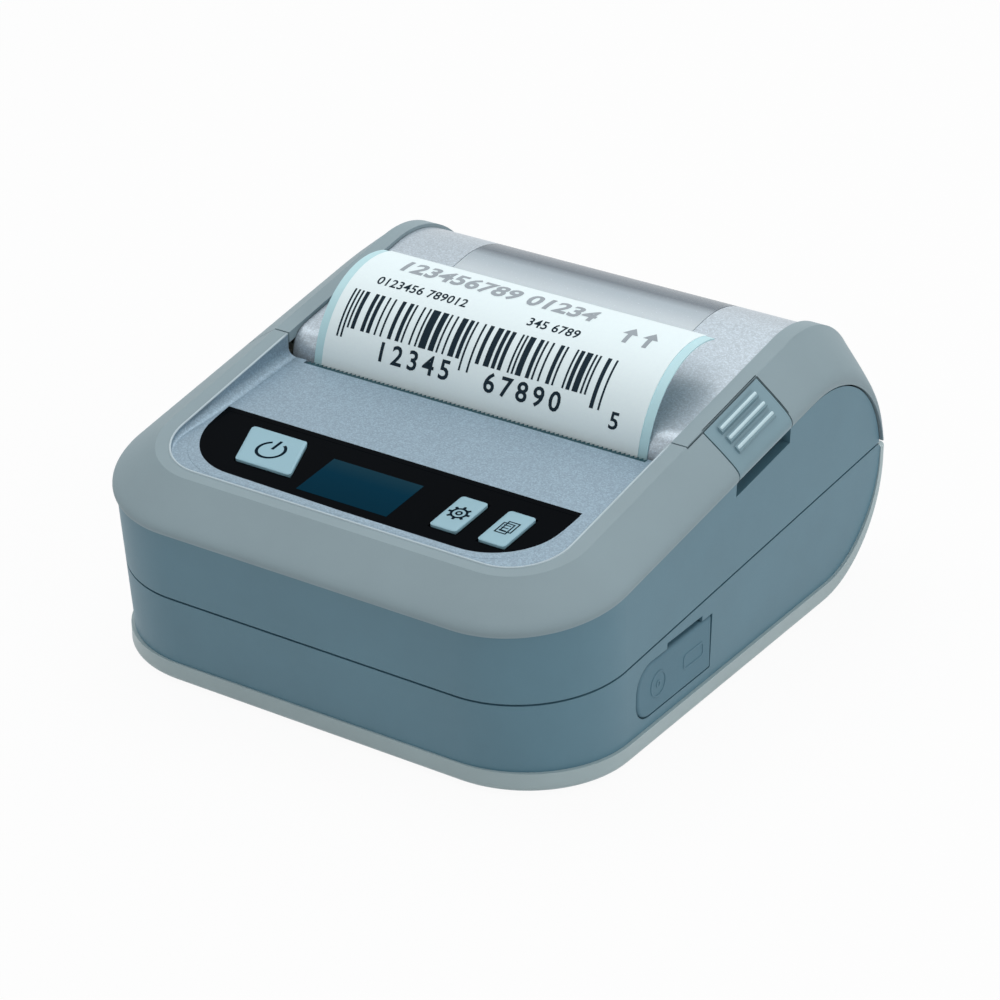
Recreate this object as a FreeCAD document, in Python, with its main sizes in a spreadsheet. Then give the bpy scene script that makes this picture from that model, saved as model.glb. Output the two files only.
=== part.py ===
import FreeCAD, Part
import math
import os
import re

import Sketcher
from FreeCAD import Placement, Rotation, Vector

# A portable label printer: a wedge-shaped case with a nose-shaped lid over a drop-in roll.
# +X is the user's right, +Y the rear, +Z up; the origin is the middle of the footprint.
LENGTHS = {
    # case form
    "case_width": 114.6,
    "case_depth": 125.95,
    "side_lean": 0.8,
    "front_lean": 3.0,
    "corner_radius": 23.2,
    "wall": 2.2,
    "foot_drop": 0.5,
    "skirt_height": 4.2,
    "skirt_rear": 2.4,
    "skirt_step": 0.8,
    "skirt_round": 1.4,
    "tray_floor": 2.0,
    "rim_width": 3.0,
    "parting_front": 19.8,
    "parting_rear": 29.3,
    "parting_groove": 0.45,
    "groove_depth": 0.8,
    "boundary_front": 34.7,
    "ridge_front": 43.6,
    "trim_slope_width": 8.0,
    "seam_side": 11.5,
    "seam_front": 10.6,
    "nose_radius": 25.2,
    "heel_radius": 24.0,
    "shoulder_radius": 26.2,
    "shoulder_back": 28.8,
    "lid_gap": 0.35,
    "lid_seam": -5.91,
    "overrun": 20.0,
    # front panel and its controls
    "panel_drop": 0.3,
    "panel_thick": 1.8,
    "panel_gap": 0.15,
    "panel_rear": -6.11,
    "ledge_width": 1.4,
    "ledge_height": 1.4,
    "skirt_thick": 1.2,
    "skirt_end": -9.21,
    "window_margin": 4.05,
    "window_shift": -1.2,
    "window_front": 1.3,
    "window_rear": 23.0,
    "window_round": 13.0,
    "window_thick": 1.0,
    "display_front": 5.0,
    "display_length": 12.6,
    "power_front": 7.8,
    "power_length": 11.9,
    "power_skew": -4.6,
    "key_front": 6.4,
    "key_length": 11.4,
    "key_gap": 0.2,
    "key_proud": 0.4,
    "key_round": 0.8,
    "key_flange": 0.7,
    "flange_thick": 0.8,
    "stem_radius": 1.6,
    "key_travel": 0.8,
    "board_drop": 7.5,
    "board_thick": 1.6,
    "key_board_inset": 4.0,
    "key_board_margin": 7.0,
    "key_board_front": 3.0,
    "key_board_length": 18.0,
    "switch_side": 6.0,
    "switch_height": 3.4,
    # paper path
    "paper_inset": 17.3,
    "label_inset": 2.0,
    "liner_thick": 0.25,
    "label_thick": 0.2,
    "curl_radius": 19.0,
    "tear_lap": 1.0,
    "tear_front": -7.31,
    "tear_depth": 1.2,
    "tear_thick": 0.6,
    "tear_sink": 0.5,
    "tooth_depth": 0.7,
    "paper_y": -4.66,
    "paper_z": 47.6,
    "nip_z": 42.0,
    "platen_radius": 5.0,
    "platen_lap": 0.6,
    "shaft_radius": 3.0,
    "journal_radius": 2.0,
    "running_gap": 0.05,
    "nip_gap": 0.35,
    "head_gap": 0.25,
    "head_thick": 0.8,
    "head_low": 8.0,
    "head_high": 2.5,
    "sink_thick": 4.0,
    "sink_low": 8.0,
    "sink_high": 1.5,
    "roll_radius": 24.0,
    "roll_y": 31.29,
    "core_radius": 7.5,
    "bore_radius": 6.0,
    "bay_gap": 0.3,
    "bay_thick": 1.8,
    "bay_side_gap": 1.2,
    "bay_wall_top": 46.0,
    "bay_front_top": 38.0,
    # lid
    "lid_recess": 0.8,
    "lid_thick": 1.8,
    "lid_rear_edge": 36.5,
    "lip_low": 46.6,
    "lip_radius": 5.0,
    "flange_reach": 1.1,
    "flange_lap": 1.5,
    "lid_flange": 1.2,
    "glass_inset": 10.7,
    "glass_front": 8.29,
    "glass_rear": 40.0,
    "glass_lap": 2.0,
    "glass_flange": 0.8,
    "carrier_thick": 2.4,
    "carrier_rear": 5.89,
    "ear_gap": 2.0,
    "ear_thick": 2.0,
    "ear_front": -2.71,
    "ear_rear": 2.49,
    "hub_radius": 4.4,
    "bushing_radius": 2.9,
    "knuckle_radius": 2.4,
    "knuckle_reach": 1.2,
    "pin_radius": 1.0,
    "knuckle_inset": 16.0,
    "knuckle_length": 10.0,
    "base_knuckle": 5.7,
    "knuckle_gap": 0.3,
    "hinge_relief": 2.0,
    # drive train
    "gear_module": 0.6,
    "gear_backlash": 0.12,
    "gear_gap": 7.2,
    "gear_face": 3.0,
    "wheel_step": 0.6,
    "wheel_face": 2.6,
    "stud_radius": 1.5,
    "motor_radius": 7.0,
    "motor_length": 18.0,
    "motor_shaft_radius": 1.0,
    "frame_gap": 4.4,
    "frame_thick": 1.2,
    "frame_front": -40.71,
    "frame_rear": -6.71,
    "frame_top": 41.5,
    "beam_front": -14.41,
    "beam_thick": 1.0,
    "beam_low": 37.0,
    "stud_plate_rear": -0.71,
    "stud_plate_top": 36.0,
    # inner frame, boards and battery
    "deck_height": 21.2,
    "deck_thick": 1.6,
    "deck_lap": 7.0,
    "deck_front": -49.71,
    "deck_rear": 7.79,
    "rib_thick": 1.5,
    "rib_inset": 9.0,
    "battery_left_gap": 3.0,
    "battery_right_gap": 2.0,
    "battery_front": -49.71,
    "battery_length": 40.0,
    "battery_height": 16.0,
    "battery_round": 3.0,
    "main_gap": 2.4,
    "main_front": -47.71,
    "main_length": 31.0,
    "port_front": -34.91,
    "port_length": 27.8,
    "port_low": 7.0,
    "port_height": 12.2,
    "port_round": 5.0,
    "port_gap": 0.25,
    "port_thick": 1.6,
    "port_proud": 0.2,
    "port_pin_radius": 0.5,
    "port_pin_depth": 1.1,
    "port_edge_round": 0.8,
    "port_pin_length": 1.0,
    "port_axis_inset": 1.6,
    "notch_front": -24.01,
    "notch_length": 13.0,
    "notch_height": 1.2,
    "port_board_width": 15.6,
    "port_board_inset": 3.7,
    "port_board_height": 8.0,
    "pedestal_thick": 1.6,
    "jack_width": 9.0,
    "jack_height": 10.5,
    "jack_length": 13.0,
    "jack_bore": 3.0,
    "jack_depth": 9.0,
    "jack_pin": 1.0,
    "jack_front": -31.71,
    "usb_width": 9.0,
    "usb_height": 3.3,
    "usb_length": 7.5,
    "usb_front": -18.71,
    "usb_wall": 0.4,
    "foot_radius": 4.5,
    "foot_sink": 0.8,
    "foot_front": -42.71,
    "foot_rear": 29.29,
    # release latch
    "latch_inset": 7.65,
    "latch_front": 0.09,
    "latch_length": 19.85,
    "latch_rise": 0.3,
    "latch_rib": 0.45,
    "latch_rib_width": 1.1,
    "latch_rib_margin": 3.0,
    "recess_height": 3.2,
    "recess_depth": 2.6,
    "latch_travel": 2.0,
    "guide_inset": 0.35,
    "guide_z": 49.3,
    "guide_length": 9.0,
    "leg_length": 5.4,
    "leg_thick": 1.4,
    "leg_margin": 3.2,
    "bracket_lap": 1.15,
    "bracket_low": 39.0,
}
SHARES = {
    "boundary_rise_share": 0.162,
    "ridge_rise_share": 0.19,
    "panel_rise_share": 0.095,
    "paper_lean_angle": 12.0,
    "curl_angle": 95.5,
    "latch_slide_angle": 60.0,
    "bulge_share": 0.08,
    "display_left_share": -0.1545,
    "display_width_share": 0.2551,
    "power_left_share": -0.3569,
    "power_width_share": 0.1617,
    "settings_left_share": 0.2072,
    "feed_left_share": 0.3377,
    "key_width_share": 0.0731,
    "main_left_share": 0.25,
    "tooth_count": 80,
    "platen_teeth_count": 22,
    "small_teeth_count": 14,
    "wheel_teeth_count": 36,
    "pinion_teeth_count": 12,
    "pressure_angle": 20.0,
    "addendum_share": 0.85,
    "dedendum_share": 1.1,
    "idler_angle": 248.0,
    "pinion_angle": 180.0,
}
# Sizes that follow from the others: the paper and all that lies across it follow the case's width.
DERIVED = {
    "window_width": "case_width - 2 * seam_side - 2 * window_margin",
    "display_left": "display_left_share * window_width",
    "display_width": "display_width_share * window_width",
    "power_left": "power_left_share * window_width",
    "power_width": "power_width_share * window_width",
    "settings_left": "settings_left_share * window_width",
    "feed_left": "feed_left_share * window_width",
    "key_width": "key_width_share * window_width",
    "paper_width": "case_width - 2 * paper_inset",
    "label_width": "paper_width - 2 * label_inset",
    "key_board_left": "key_board_inset - paper_width / 2",
    "key_board_width": "paper_width - key_board_margin",
    "tear_half": "paper_width / 2 + tear_lap",
    "platen_half": "paper_width / 2 + platen_lap",
    "glass_half": "paper_width / 2 - glass_inset",
    "ear_inner": "paper_width / 2 + ear_gap",
    "knuckle_inner": "paper_width / 2 - knuckle_inset",
    "gear_inner": "paper_width / 2 + gear_gap",
    "frame_inner": "paper_width / 2 + frame_gap",
    "deck_half": "paper_width / 2 + deck_lap",
    "rib_left": "-deck_half",
    "rib_right": "paper_width / 2 - rib_inset",
    "battery_left": "rib_left + battery_left_gap",
    "battery_width": "rib_right - battery_left - battery_right_gap",
    "main_left": "-main_left_share * paper_width",
    "main_width": "frame_inner - main_left - main_gap",
    "port_board_outer": "case_width / 2 - port_board_inset",
    "port_board_inner": "port_board_outer - port_board_width",
    "foot_x": "paper_width / 2",
    "latch_inner": "case_width / 2 - latch_inset",
    "guide_x": "latch_inner + guide_inset",
    "bracket_inner": "latch_inner - bracket_lap",
}

doc = FreeCAD.newDocument("label_printer")
sheet = doc.addObject("Spreadsheet::Sheet", "sizes")
formulas = {alias: f"={formula}" for alias, formula in DERIVED.items()}
for row, (alias, value) in enumerate({**LENGTHS, **SHARES, **formulas}.items(), start=1):
    sheet.set(f"A{row}", alias)
    sheet.setAlias(f"B{row}", alias)
    sheet.set(f"B{row}", str(value))
doc.recompute()


class Sizes:
    """Reads the sheet's cells as plain numbers."""

    def __getattr__(self, alias):
        return float(sheet.get(alias))


d = Sizes()
nodes = {}
X_AXIS = Vector(1, 0, 0)
Y_AXIS = Vector(0, 1, 0)
RIGHT_ANGLE = 90

half_case = d.case_width / 2
span = d.case_width
y_front = (d.bulge_share * d.trim_slope_width - d.case_depth - d.knuckle_reach) / 2
y_rear = y_front + d.case_depth
y_seam = y_front + d.seam_front
half_seam = half_case - d.seam_side
seam_round = d.corner_radius - d.seam_side
far_front = y_front - d.overrun
far_rear = y_rear + d.overrun
far_low = -d.overrun
far_top = d.ridge_front + 2 * d.overrun
floor_z = d.foot_drop + d.tray_floor
boundary_angle = math.atan(d.boundary_rise_share)
ridge_angle = math.atan(d.ridge_rise_share)
panel_angle = math.atan(d.panel_rise_share)
paper_lean = math.radians(d.paper_lean_angle)
nose_y = y_rear - d.nose_radius
heel_y = y_rear - d.heel_radius
hinge_y = y_rear + d.knuckle_reach - d.knuckle_radius
hinge_z = d.parting_rear


def boundary_z(y):
    return d.boundary_front + d.boundary_rise_share * (y - y_front)


def ridge_z(y):
    return d.ridge_front + d.ridge_rise_share * (y - y_seam)


def panel_z(y):
    return d.ridge_front - d.panel_drop + d.panel_rise_share * (y - y_seam)


def parting_z(y):
    return d.parting_front + (d.parting_rear - d.parting_front) * (y - y_front) / d.case_depth


def paper_line_y(z):
    return d.paper_y + math.tan(paper_lean) * (z - d.paper_z)


nose_z = ridge_z(nose_y) - d.nose_radius / math.cos(ridge_angle)
platen_y = paper_line_y(d.nip_z) + (d.platen_radius + d.nip_gap) * math.cos(paper_lean)
platen_z = d.nip_z - (d.platen_radius + d.nip_gap) * math.sin(paper_lean)
panel_frame = Placement(Vector(0, y_seam, panel_z(y_seam)), Rotation(X_AXIS, math.degrees(panel_angle)))

# Formulas shared by the bound features.
Y_SEAM = "((bulge_share * trim_slope_width - case_depth - knuckle_reach) / 2 + seam_front)"
Y_REAR = "((bulge_share * trim_slope_width + case_depth - knuckle_reach) / 2)"
HALF_SEAM = "(case_width / 2 - seam_side)"
PANEL_STRETCH = "sqrt(1 + panel_rise_share ^ 2)"
PLATEN_Y = ("(paper_y - tan(paper_lean_angle) * (paper_z - nip_z)"
            " + (platen_radius + nip_gap) * cos(paper_lean_angle))")
PLATEN_Z = "(nip_z - (platen_radius + nip_gap) * sin(paper_lean_angle))"
FLOOR = "(foot_drop + tray_floor)"
ROLL_Z = f"({FLOOR} + bay_thick + bay_gap + roll_radius)"
HINGE_Y = f"({Y_REAR} + knuckle_reach - knuckle_radius)"
DECK_TOP = "deck_height"


def named(formula):
    """The formula with every cell's alias written as a cell of the sheet."""
    return re.sub(r"\b([a-z_]+)\b(?!\s*\()", r"sizes.\1", formula)


def worth(formula):
    return float(sheet.evalExpression(named(formula)))


def keep(label, piece):
    """Registers a finished piece under its own name."""
    piece.Label = label
    nodes[label] = piece
    return piece


def add(label, shape, placement=Placement()):
    """A piece whose form no single feature gives."""
    piece = doc.addObject("Part::Feature", label)
    piece.Shape = shape
    piece.Placement = placement
    return keep(label, piece)


def bind(piece, **formulas):
    for prop, formula in formulas.items():
        piece.setExpression(prop.replace("__", "."), named(formula))
    return piece


def block(name, x, y, z):
    """A box between (low, high) formulas along each axis."""
    piece = doc.addObject("Part::Box", name)
    bind(piece, Length=f"{x[1]} - ({x[0]})", Width=f"{y[1]} - ({y[0]})", Height=f"{z[1]} - ({z[0]})")
    return bind(piece, Placement__Base__x=x[0], Placement__Base__y=y[0], Placement__Base__z=z[0])


def rod(name, radius, x, y, z):
    """A round bar along X between two formulas, about (y, z)."""
    piece = doc.addObject("Part::Cylinder", name)
    piece.Placement.Rotation = Rotation(Y_AXIS, RIGHT_ANGLE)
    bind(piece, Radius=radius, Height=f"{x[1]} - ({x[0]})")
    return bind(piece, Placement__Base__x=x[0], Placement__Base__y=y, Placement__Base__z=z)


def post(name, radius, x, y, z):
    """A round bar along Z between two formulas."""
    piece = doc.addObject("Part::Cylinder", name)
    bind(piece, Radius=radius, Height=f"{z[1]} - ({z[0]})")
    return bind(piece, Placement__Base__x=x, Placement__Base__y=y, Placement__Base__z=z[0])


def fuse(name, *pieces):
    joined = doc.addObject("Part::MultiFuse", name)
    joined.Shapes = list(pieces)
    return joined


def cut(name, base, tool):
    left = doc.addObject("Part::Cut", name)
    left.Base = base
    left.Tool = tool
    return left


def common(name, *pieces):
    shared = doc.addObject("Part::MultiCommon", name)
    shared.Shapes = list(pieces)
    return shared


def start_body(label, placement):
    piece = doc.addObject("PartDesign::Body", label)
    piece.Placement = placement
    return keep(label, piece)


def drawing(piece, height):
    """An empty sketch on the body's XY plane, raised by a formula."""
    ground = next(item for item in piece.Origin.OriginFeatures if item.Role == "XY_Plane")
    sketch = piece.newObject("Sketcher::SketchObject", piece.Label + "_sketch")
    sketch.AttachmentSupport = [(ground, "")]
    sketch.MapMode = "FlatFace"
    sketch.setExpression("AttachmentOffset.Base.z", named(height))
    return sketch


def fix_point(sketch, geometry, vertex, corner):
    for kind, formula in zip(("DistanceX", "DistanceY"), corner):
        index = sketch.addConstraint(Sketcher.Constraint(kind, -1, 1, geometry, vertex, worth(formula)))
        sketch.setExpression(f"Constraints[{index}]", named(formula))


def polygon(piece, corners, height="0 * wall"):
    """A closed outline whose corners are pairs of formulas."""
    sketch = drawing(piece, height)
    places = [Vector(worth(u), worth(v), 0) for u, v in corners]
    for place, following in zip(places, places[1:] + places[:1]):
        sketch.addGeometry(Part.LineSegment(place, following))
    for side in range(len(corners)):
        after = (side + 1) % len(corners)
        sketch.addConstraint(Sketcher.Constraint("Coincident", side, 2, after, 1))
    for side, corner in enumerate(corners):
        fix_point(sketch, side, 1, corner)
    return sketch


def disc(piece, centre, radius, height="0 * wall"):
    sketch = drawing(piece, height)
    middle = Vector(worth(centre[0]), worth(centre[1]), 0)
    sketch.addGeometry(Part.Circle(middle, Vector(0, 0, 1), worth(radius)))
    fix_point(sketch, 0, 3, centre)
    index = sketch.addConstraint(Sketcher.Constraint("Radius", 0, worth(radius)))
    sketch.setExpression(f"Constraints[{index}]", named(radius))
    return sketch


def raise_pad(piece, sketch, length, down=False):
    pad = piece.newObject("PartDesign::Pad", piece.Label + "_pad")
    pad.Profile = sketch
    pad.Reversed = down
    bind(pad, Length=length)
    doc.recompute()
    return pad


def sink_pocket(piece, sketch, length):
    """A pocket downwards from the sketch, which must take material away."""
    before = piece.Shape.Volume
    pocket = piece.newObject("PartDesign::Pocket", piece.Label + "_pocket")
    pocket.Profile = sketch
    bind(pocket, Length=length)
    doc.recompute()
    if piece.Shape.Volume >= before:
        raise RuntimeError(f"the pocket in {piece.Label} cut nothing")
    return pocket


def round_uprights(piece, radius, chosen):
    """Rounds the upright edges of the body's tip that the test picks by their (u, v)."""
    tip = piece.Tip
    picked = []
    for number, edge in enumerate(tip.Shape.Edges, start=1):
        low, high = edge.BoundBox, edge.CenterOfMass
        upright = low.XLength + low.YLength < low.ZLength
        if upright and chosen(high.x, high.y):
            picked.append(f"Edge{number}")
    rounding = piece.newObject("PartDesign::Fillet", piece.Label + "_round")
    rounding.Base = (tip, picked)
    bind(rounding, Radius=radius)
    doc.recompute()
    return rounding


def rectangle(left, front, width, length, skew="0 * wall"):
    """Corners from the front left, with the rear edge shifted sideways by the skew."""
    right, rear = f"({left} + {width})", f"({front} + {length})"
    return [(left, front), (right, front), (f"{right} + {skew}", rear), (f"{left} + {skew}", rear)]


def widened(left, front, width, length, skew, gap):
    return rectangle(f"({left} - {gap})", f"({front} - {gap})", f"({width} + 2 * {gap})",
                     f"({length} + 2 * {gap})", skew)


def slab(x, y, z):
    return Part.makeBox(x[1] - x[0], y[1] - y[0], z[1] - z[0], Vector(x[0], y[0], z[0]))


def bow(y, z, radius, start, end):
    """Three points of a side-view arc about (y, z); angles run from the rear upwards."""
    turns = (start, (start + end) / 2, end)
    return tuple((y + radius * math.cos(turn), z + radius * math.sin(turn)) for turn in turns)


def traced(outline, at):
    """A closed wire through points and three-point arcs, joined by straight runs."""
    edges = []
    firsts = [item[0] if len(item) == 3 else item for item in outline]
    for item, following in zip(outline, firsts[1:] + firsts[:1]):
        last = item
        if len(item) == 3:
            edges.append(Part.Arc(at(item[0]), at(item[1]), at(item[2])).toShape())
            last = item[2]
        if not at(last).isEqual(at(following), d.running_gap / d.case_depth):
            edges.append(Part.LineSegment(at(last), at(following)).toShape())
    return Part.Wire(edges)


def across(*outline, left=-span, right=span):
    """A side-view outline carried over a stretch of the width."""
    wire = traced(outline, lambda point: Vector(left, point[0], point[1]))
    return Part.Face(wire).extrude(Vector(right - left, 0, 0))


def along(*outline, front, rear):
    """A front-view outline of (x, z) points carried over a stretch of the depth."""
    wire = traced(outline, lambda point: Vector(point[0], front, point[1]))
    return Part.Face(wire).extrude(Vector(0, rear - front, 0))


def under(height):
    """Everything below a sloping plane given as a height over y."""
    return across((far_front, far_low), (far_rear, far_low), (far_rear, height(far_rear)),
                  (far_front, height(far_front)))


def plan(half, front, radius, tilt=0.0, rise=0.0):
    """A plan outline with two round front corners, laid on a plane tilted about X."""
    stretch = 1 / math.cos(tilt)
    front = front * stretch
    rear = far_rear * stretch
    bend = front + radius
    slant = radius - radius * math.sqrt(0.5)
    corners = [
        (half, rear),
        ((half, bend), (half - slant, front + slant), (half - radius, front)),
        ((radius - half, front), (slant - half, front + slant), (-half, bend)),
        (-half, rear),
    ]
    wire = traced(corners, lambda point: Vector(point[0], point[1], 0))
    wire.Placement = Placement(Vector(0, 0, rise), Rotation(X_AXIS, math.degrees(tilt)))
    return wire


def column(half, front, radius):
    """The plan outline as an upright prism."""
    return Part.Face(plan(half, front, radius)).extrude(Vector(0, 0, far_top))


def wall_form(inset):
    """The leaning walls of the case as a loft between two level outlines."""
    outlines = []
    for height in (0, far_top):
        lean = 1 - height / d.boundary_front
        half = half_case - d.side_lean * lean - inset
        front = y_front + d.front_lean * lean + inset
        outlines.append(plan(half, front, d.corner_radius - inset, rise=height))
    return Part.makeLoft(outlines, True, True)


# Trim section from the case wall to the ridge: share of the height, share of the slope's width outwards.
TRIM_SHARES = ((0.0, 0.05), (0.18, d.bulge_share), (0.38, -0.1), (0.6, -0.4), (0.8, -0.7), (0.93, -0.9),
               (1.0, -1.0))


def trim_form(inset):
    """The swelling trim as a loft through tilted outlines, from the wall's top to the ridge."""
    outlines = []
    low = boundary_z(0)
    high = ridge_z(0) - inset / math.cos(ridge_angle)
    for height_share, out_share in TRIM_SHARES:
        out = out_share * d.trim_slope_width - inset
        rise_share = d.boundary_rise_share + height_share * (d.ridge_rise_share - d.boundary_rise_share)
        outlines.append(plan(half_case + out, y_front - out, d.corner_radius + out,
                             math.atan(rise_share), low + height_share * (high - low)))
    return Part.makeLoft(outlines, True, False)


def side_form(inset):
    """The side view of the whole body: flat floor, round heel, round nose and rising ridge."""
    ridge_turn = math.pi / 2 + ridge_angle
    drop = inset / math.cos(ridge_angle)
    return across(
        (far_front, d.foot_drop + inset),
        bow(heel_y, d.foot_drop + d.heel_radius, d.heel_radius - inset, -math.pi / 2, 0),
        bow(nose_y, nose_z, d.nose_radius - inset, 0, ridge_turn),
        (far_front, ridge_z(far_front) - drop),
    )


shoulder_y = y_rear - d.shoulder_back
shoulder_z = boundary_z(shoulder_y) - d.shoulder_radius / math.cos(boundary_angle)


def shoulder(gap):
    """Everything below the line where the case walls end and the trim begins."""
    radius = d.shoulder_radius + gap
    end = math.asin((d.parting_rear - shoulder_z) / radius)
    end_y = shoulder_y + radius * math.cos(end)
    return across(
        (far_front, far_low),
        (end_y, far_low),
        bow(shoulder_y, shoulder_z, radius, end, math.pi / 2 + boundary_angle),
        (far_front, boundary_z(far_front) + gap / math.cos(boundary_angle)),
    )


def shoulder_reach(y, z, turn):
    """The distance from a point to the shoulder line in the direction of a turn."""
    bend_y = shoulder_y - d.shoulder_radius * math.sin(boundary_angle)
    if turn > math.atan2(boundary_z(bend_y) - z, bend_y - y):
        return (boundary_z(y) - z) / (math.sin(turn) - d.boundary_rise_share * math.cos(turn))
    ahead = (shoulder_y - y) * math.cos(turn) + (shoulder_z - z) * math.sin(turn)
    aside = (shoulder_y - y) ** 2 + (shoulder_z - z) ** 2 - ahead ** 2
    return ahead + math.sqrt(d.shoulder_radius ** 2 - aside)


def nose_wire(inset, y, z, turn, low):
    """The trim's section across the whole width, in the plane of X and a turned radius."""
    high = d.nose_radius - inset
    points = []
    for height_share, out_share in TRIM_SHARES:
        out = out_share * d.trim_slope_width - inset
        points.append((half_case + out, low + height_share * (high - low)))

    def at(side, point):
        return Vector(side * point[0], y + point[1] * math.cos(turn), z + point[1] * math.sin(turn))

    peak = (points[-1][0], high + d.wall)
    foot = (half_case - d.trim_slope_width, low - d.wall)
    edges = []
    for side in (1, -1):
        curve = Part.BSplineCurve()
        curve.interpolate([at(side, point) for point in points[::side]])
        straights = [Part.LineSegment(at(side, points[-1]), at(side, peak)),
                     Part.LineSegment(at(1, peak), at(-1, peak))]
        if side < 0:
            straights = [Part.LineSegment(at(side, points[0]), at(side, foot)),
                         Part.LineSegment(at(-1, foot), at(1, foot))]
            edges.append(Part.LineSegment(at(side, peak), at(side, points[-1])).toShape())
        edges.append(curve.toShape())
        edges += [straight.toShape() for straight in straights]
    edges.append(Part.LineSegment(at(1, foot), at(1, points[0])).toShape())
    return Part.Wire(edges)


NOSE_STEPS = 7
RIDGE_STEPS = 8
FOOT_STEPS = 2
nose_low = min(nose_z, d.parting_rear) - d.wall


def nose_form(inset):
    """The swelling trim behind the lid's seam, carried along the ridge and round the nose."""
    wires = []
    top_turn = math.pi / 2 + ridge_angle
    for step in range(RIDGE_STEPS, 0, -1):
        back = step * d.case_depth / (2 * RIDGE_STEPS)
        y = nose_y - back * math.cos(ridge_angle)
        z = nose_z - back * math.sin(ridge_angle)
        wires.append(nose_wire(inset, y, z, top_turn, shoulder_reach(y, z, top_turn)))
    for step in range(NOSE_STEPS + 1):
        turn = top_turn * (1 - step / NOSE_STEPS)
        wires.append(nose_wire(inset, nose_y, nose_z, turn, shoulder_reach(nose_y, nose_z, turn)))
    for step in range(1, FOOT_STEPS + 1):
        z = nose_z - (nose_z - nose_low) * step / FOOT_STEPS
        wires.append(nose_wire(inset, nose_y, z, 0, shoulder_reach(nose_y, z, 0)))
    return Part.makeLoft(wires, True, False).cut(under(parting_z))


front_zone = slab((-span, span), (far_front, d.lid_seam), (0, far_top))
latch_strip = (far_front, d.latch_front - d.lid_gap)
front_zone = front_zone.fuse(slab((d.latch_inner, span), latch_strip, (0, far_top)))


def hollowed(form):
    """A form cut by the side view, less the same form one wall thickness further in."""
    return form(0).common(side_form(0)).cut(form(d.wall).common(side_form(d.wall)))


def skirt_form():
    """Everything inside the base tray's rim, in the side view."""
    radius = d.heel_radius - d.skirt_height + (d.skirt_height - d.skirt_rear) / 2
    low = d.foot_drop + d.skirt_height
    rear = y_rear - d.skirt_rear
    return across((far_front, low), bow(rear - radius, low + radius, radius, -math.pi / 2, 0),
                  (rear, far_top), (far_front, far_top))


def hinge_rod(radius, start, length):
    return Part.makeCylinder(radius, length, Vector(start, hinge_y, hinge_z), X_AXIS)


case_shell = hollowed(wall_form)
nose_shell = hollowed(nose_form)

# Hinge: two lid knuckles, each between two knuckles of the base.
lid_knuckles = [d.knuckle_inner, -d.knuckle_inner - d.knuckle_length]
base_knuckles = []
for start in lid_knuckles:
    base_knuckles.append(start - d.knuckle_gap - d.base_knuckle)
    base_knuckles.append(start + d.knuckle_length + d.knuckle_gap)

# Base tray: pale floor with a rounded rim that follows the heel up to the hinge.
tray = column(half_case - d.side_lean + d.skirt_step, y_front + d.front_lean - d.skirt_step, d.corner_radius)
tray = tray.common(side_form(0)).common(under(lambda y: parting_z(y) - d.parting_groove))
rim_edges = []
for edge in tray.Edges:
    middle = edge.valueAt((edge.FirstParameter + edge.LastParameter) / 2)
    on_floor = abs(middle.z - d.foot_drop) < d.running_gap
    reach = math.hypot(middle.y - heel_y, middle.z - d.foot_drop - d.heel_radius)
    on_heel = abs(reach - d.heel_radius) < d.running_gap and middle.y > heel_y + d.running_gap
    upright = edge.BoundBox.XLength < d.running_gap and abs(middle.x) > half_seam
    if (on_floor and middle.y < heel_y - d.running_gap) or (on_heel and upright):
        rim_edges.append(edge)
tray = tray.makeFillet(d.skirt_round, rim_edges).cut(skirt_form())
hollow = column(half_case - d.side_lean + d.skirt_step - d.rim_width,
                y_front + d.front_lean - d.skirt_step + d.rim_width, d.corner_radius - d.rim_width)
tray = tray.cut(hollow.common(side_form(d.tray_floor)))
tray = tray.cut(hinge_rod(d.hinge_relief, -span, 2 * span))
for start in lid_knuckles:
    room_length = d.knuckle_length + 2 * d.knuckle_gap
    tray = tray.cut(hinge_rod(d.knuckle_radius + d.lid_gap, start - d.knuckle_gap, room_length))
for start in base_knuckles:
    tray = tray.fuse(hinge_rod(d.knuckle_radius, start, d.base_knuckle))
tray = tray.cut(hinge_rod(d.pin_radius, -span, 2 * span))
feet_places = [(x, y) for x in (-d.foot_x, d.foot_x) for y in (d.foot_front, d.foot_rear)]
for x, y in feet_places:
    tray = tray.cut(Part.makeCylinder(d.foot_radius, d.foot_sink, Vector(x, y, d.foot_drop)))
add("base_tray", tray)

# Lower case: the wall ring between the tray's rim and the parting line, with its port opening.
port_rear = d.port_front + d.port_length


def port_shape(gap, x):
    """The port opening's outline: round at the front end, nearly square at the hinged rear end."""
    front, rear = d.port_front + gap, port_rear - gap
    low, high = d.port_low + gap, d.port_low + d.port_height - gap
    large, small = d.port_round - gap, d.port_gap
    return across(
        bow(rear - small, low + small, small, -math.pi / 2, 0),
        bow(rear - small, high - small, small, 0, math.pi / 2),
        bow(front + large, high - large, large, math.pi / 2, math.pi),
        bow(front + large, low + large, large, math.pi, 1.5 * math.pi),
        left=x[0], right=x[1])


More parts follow.
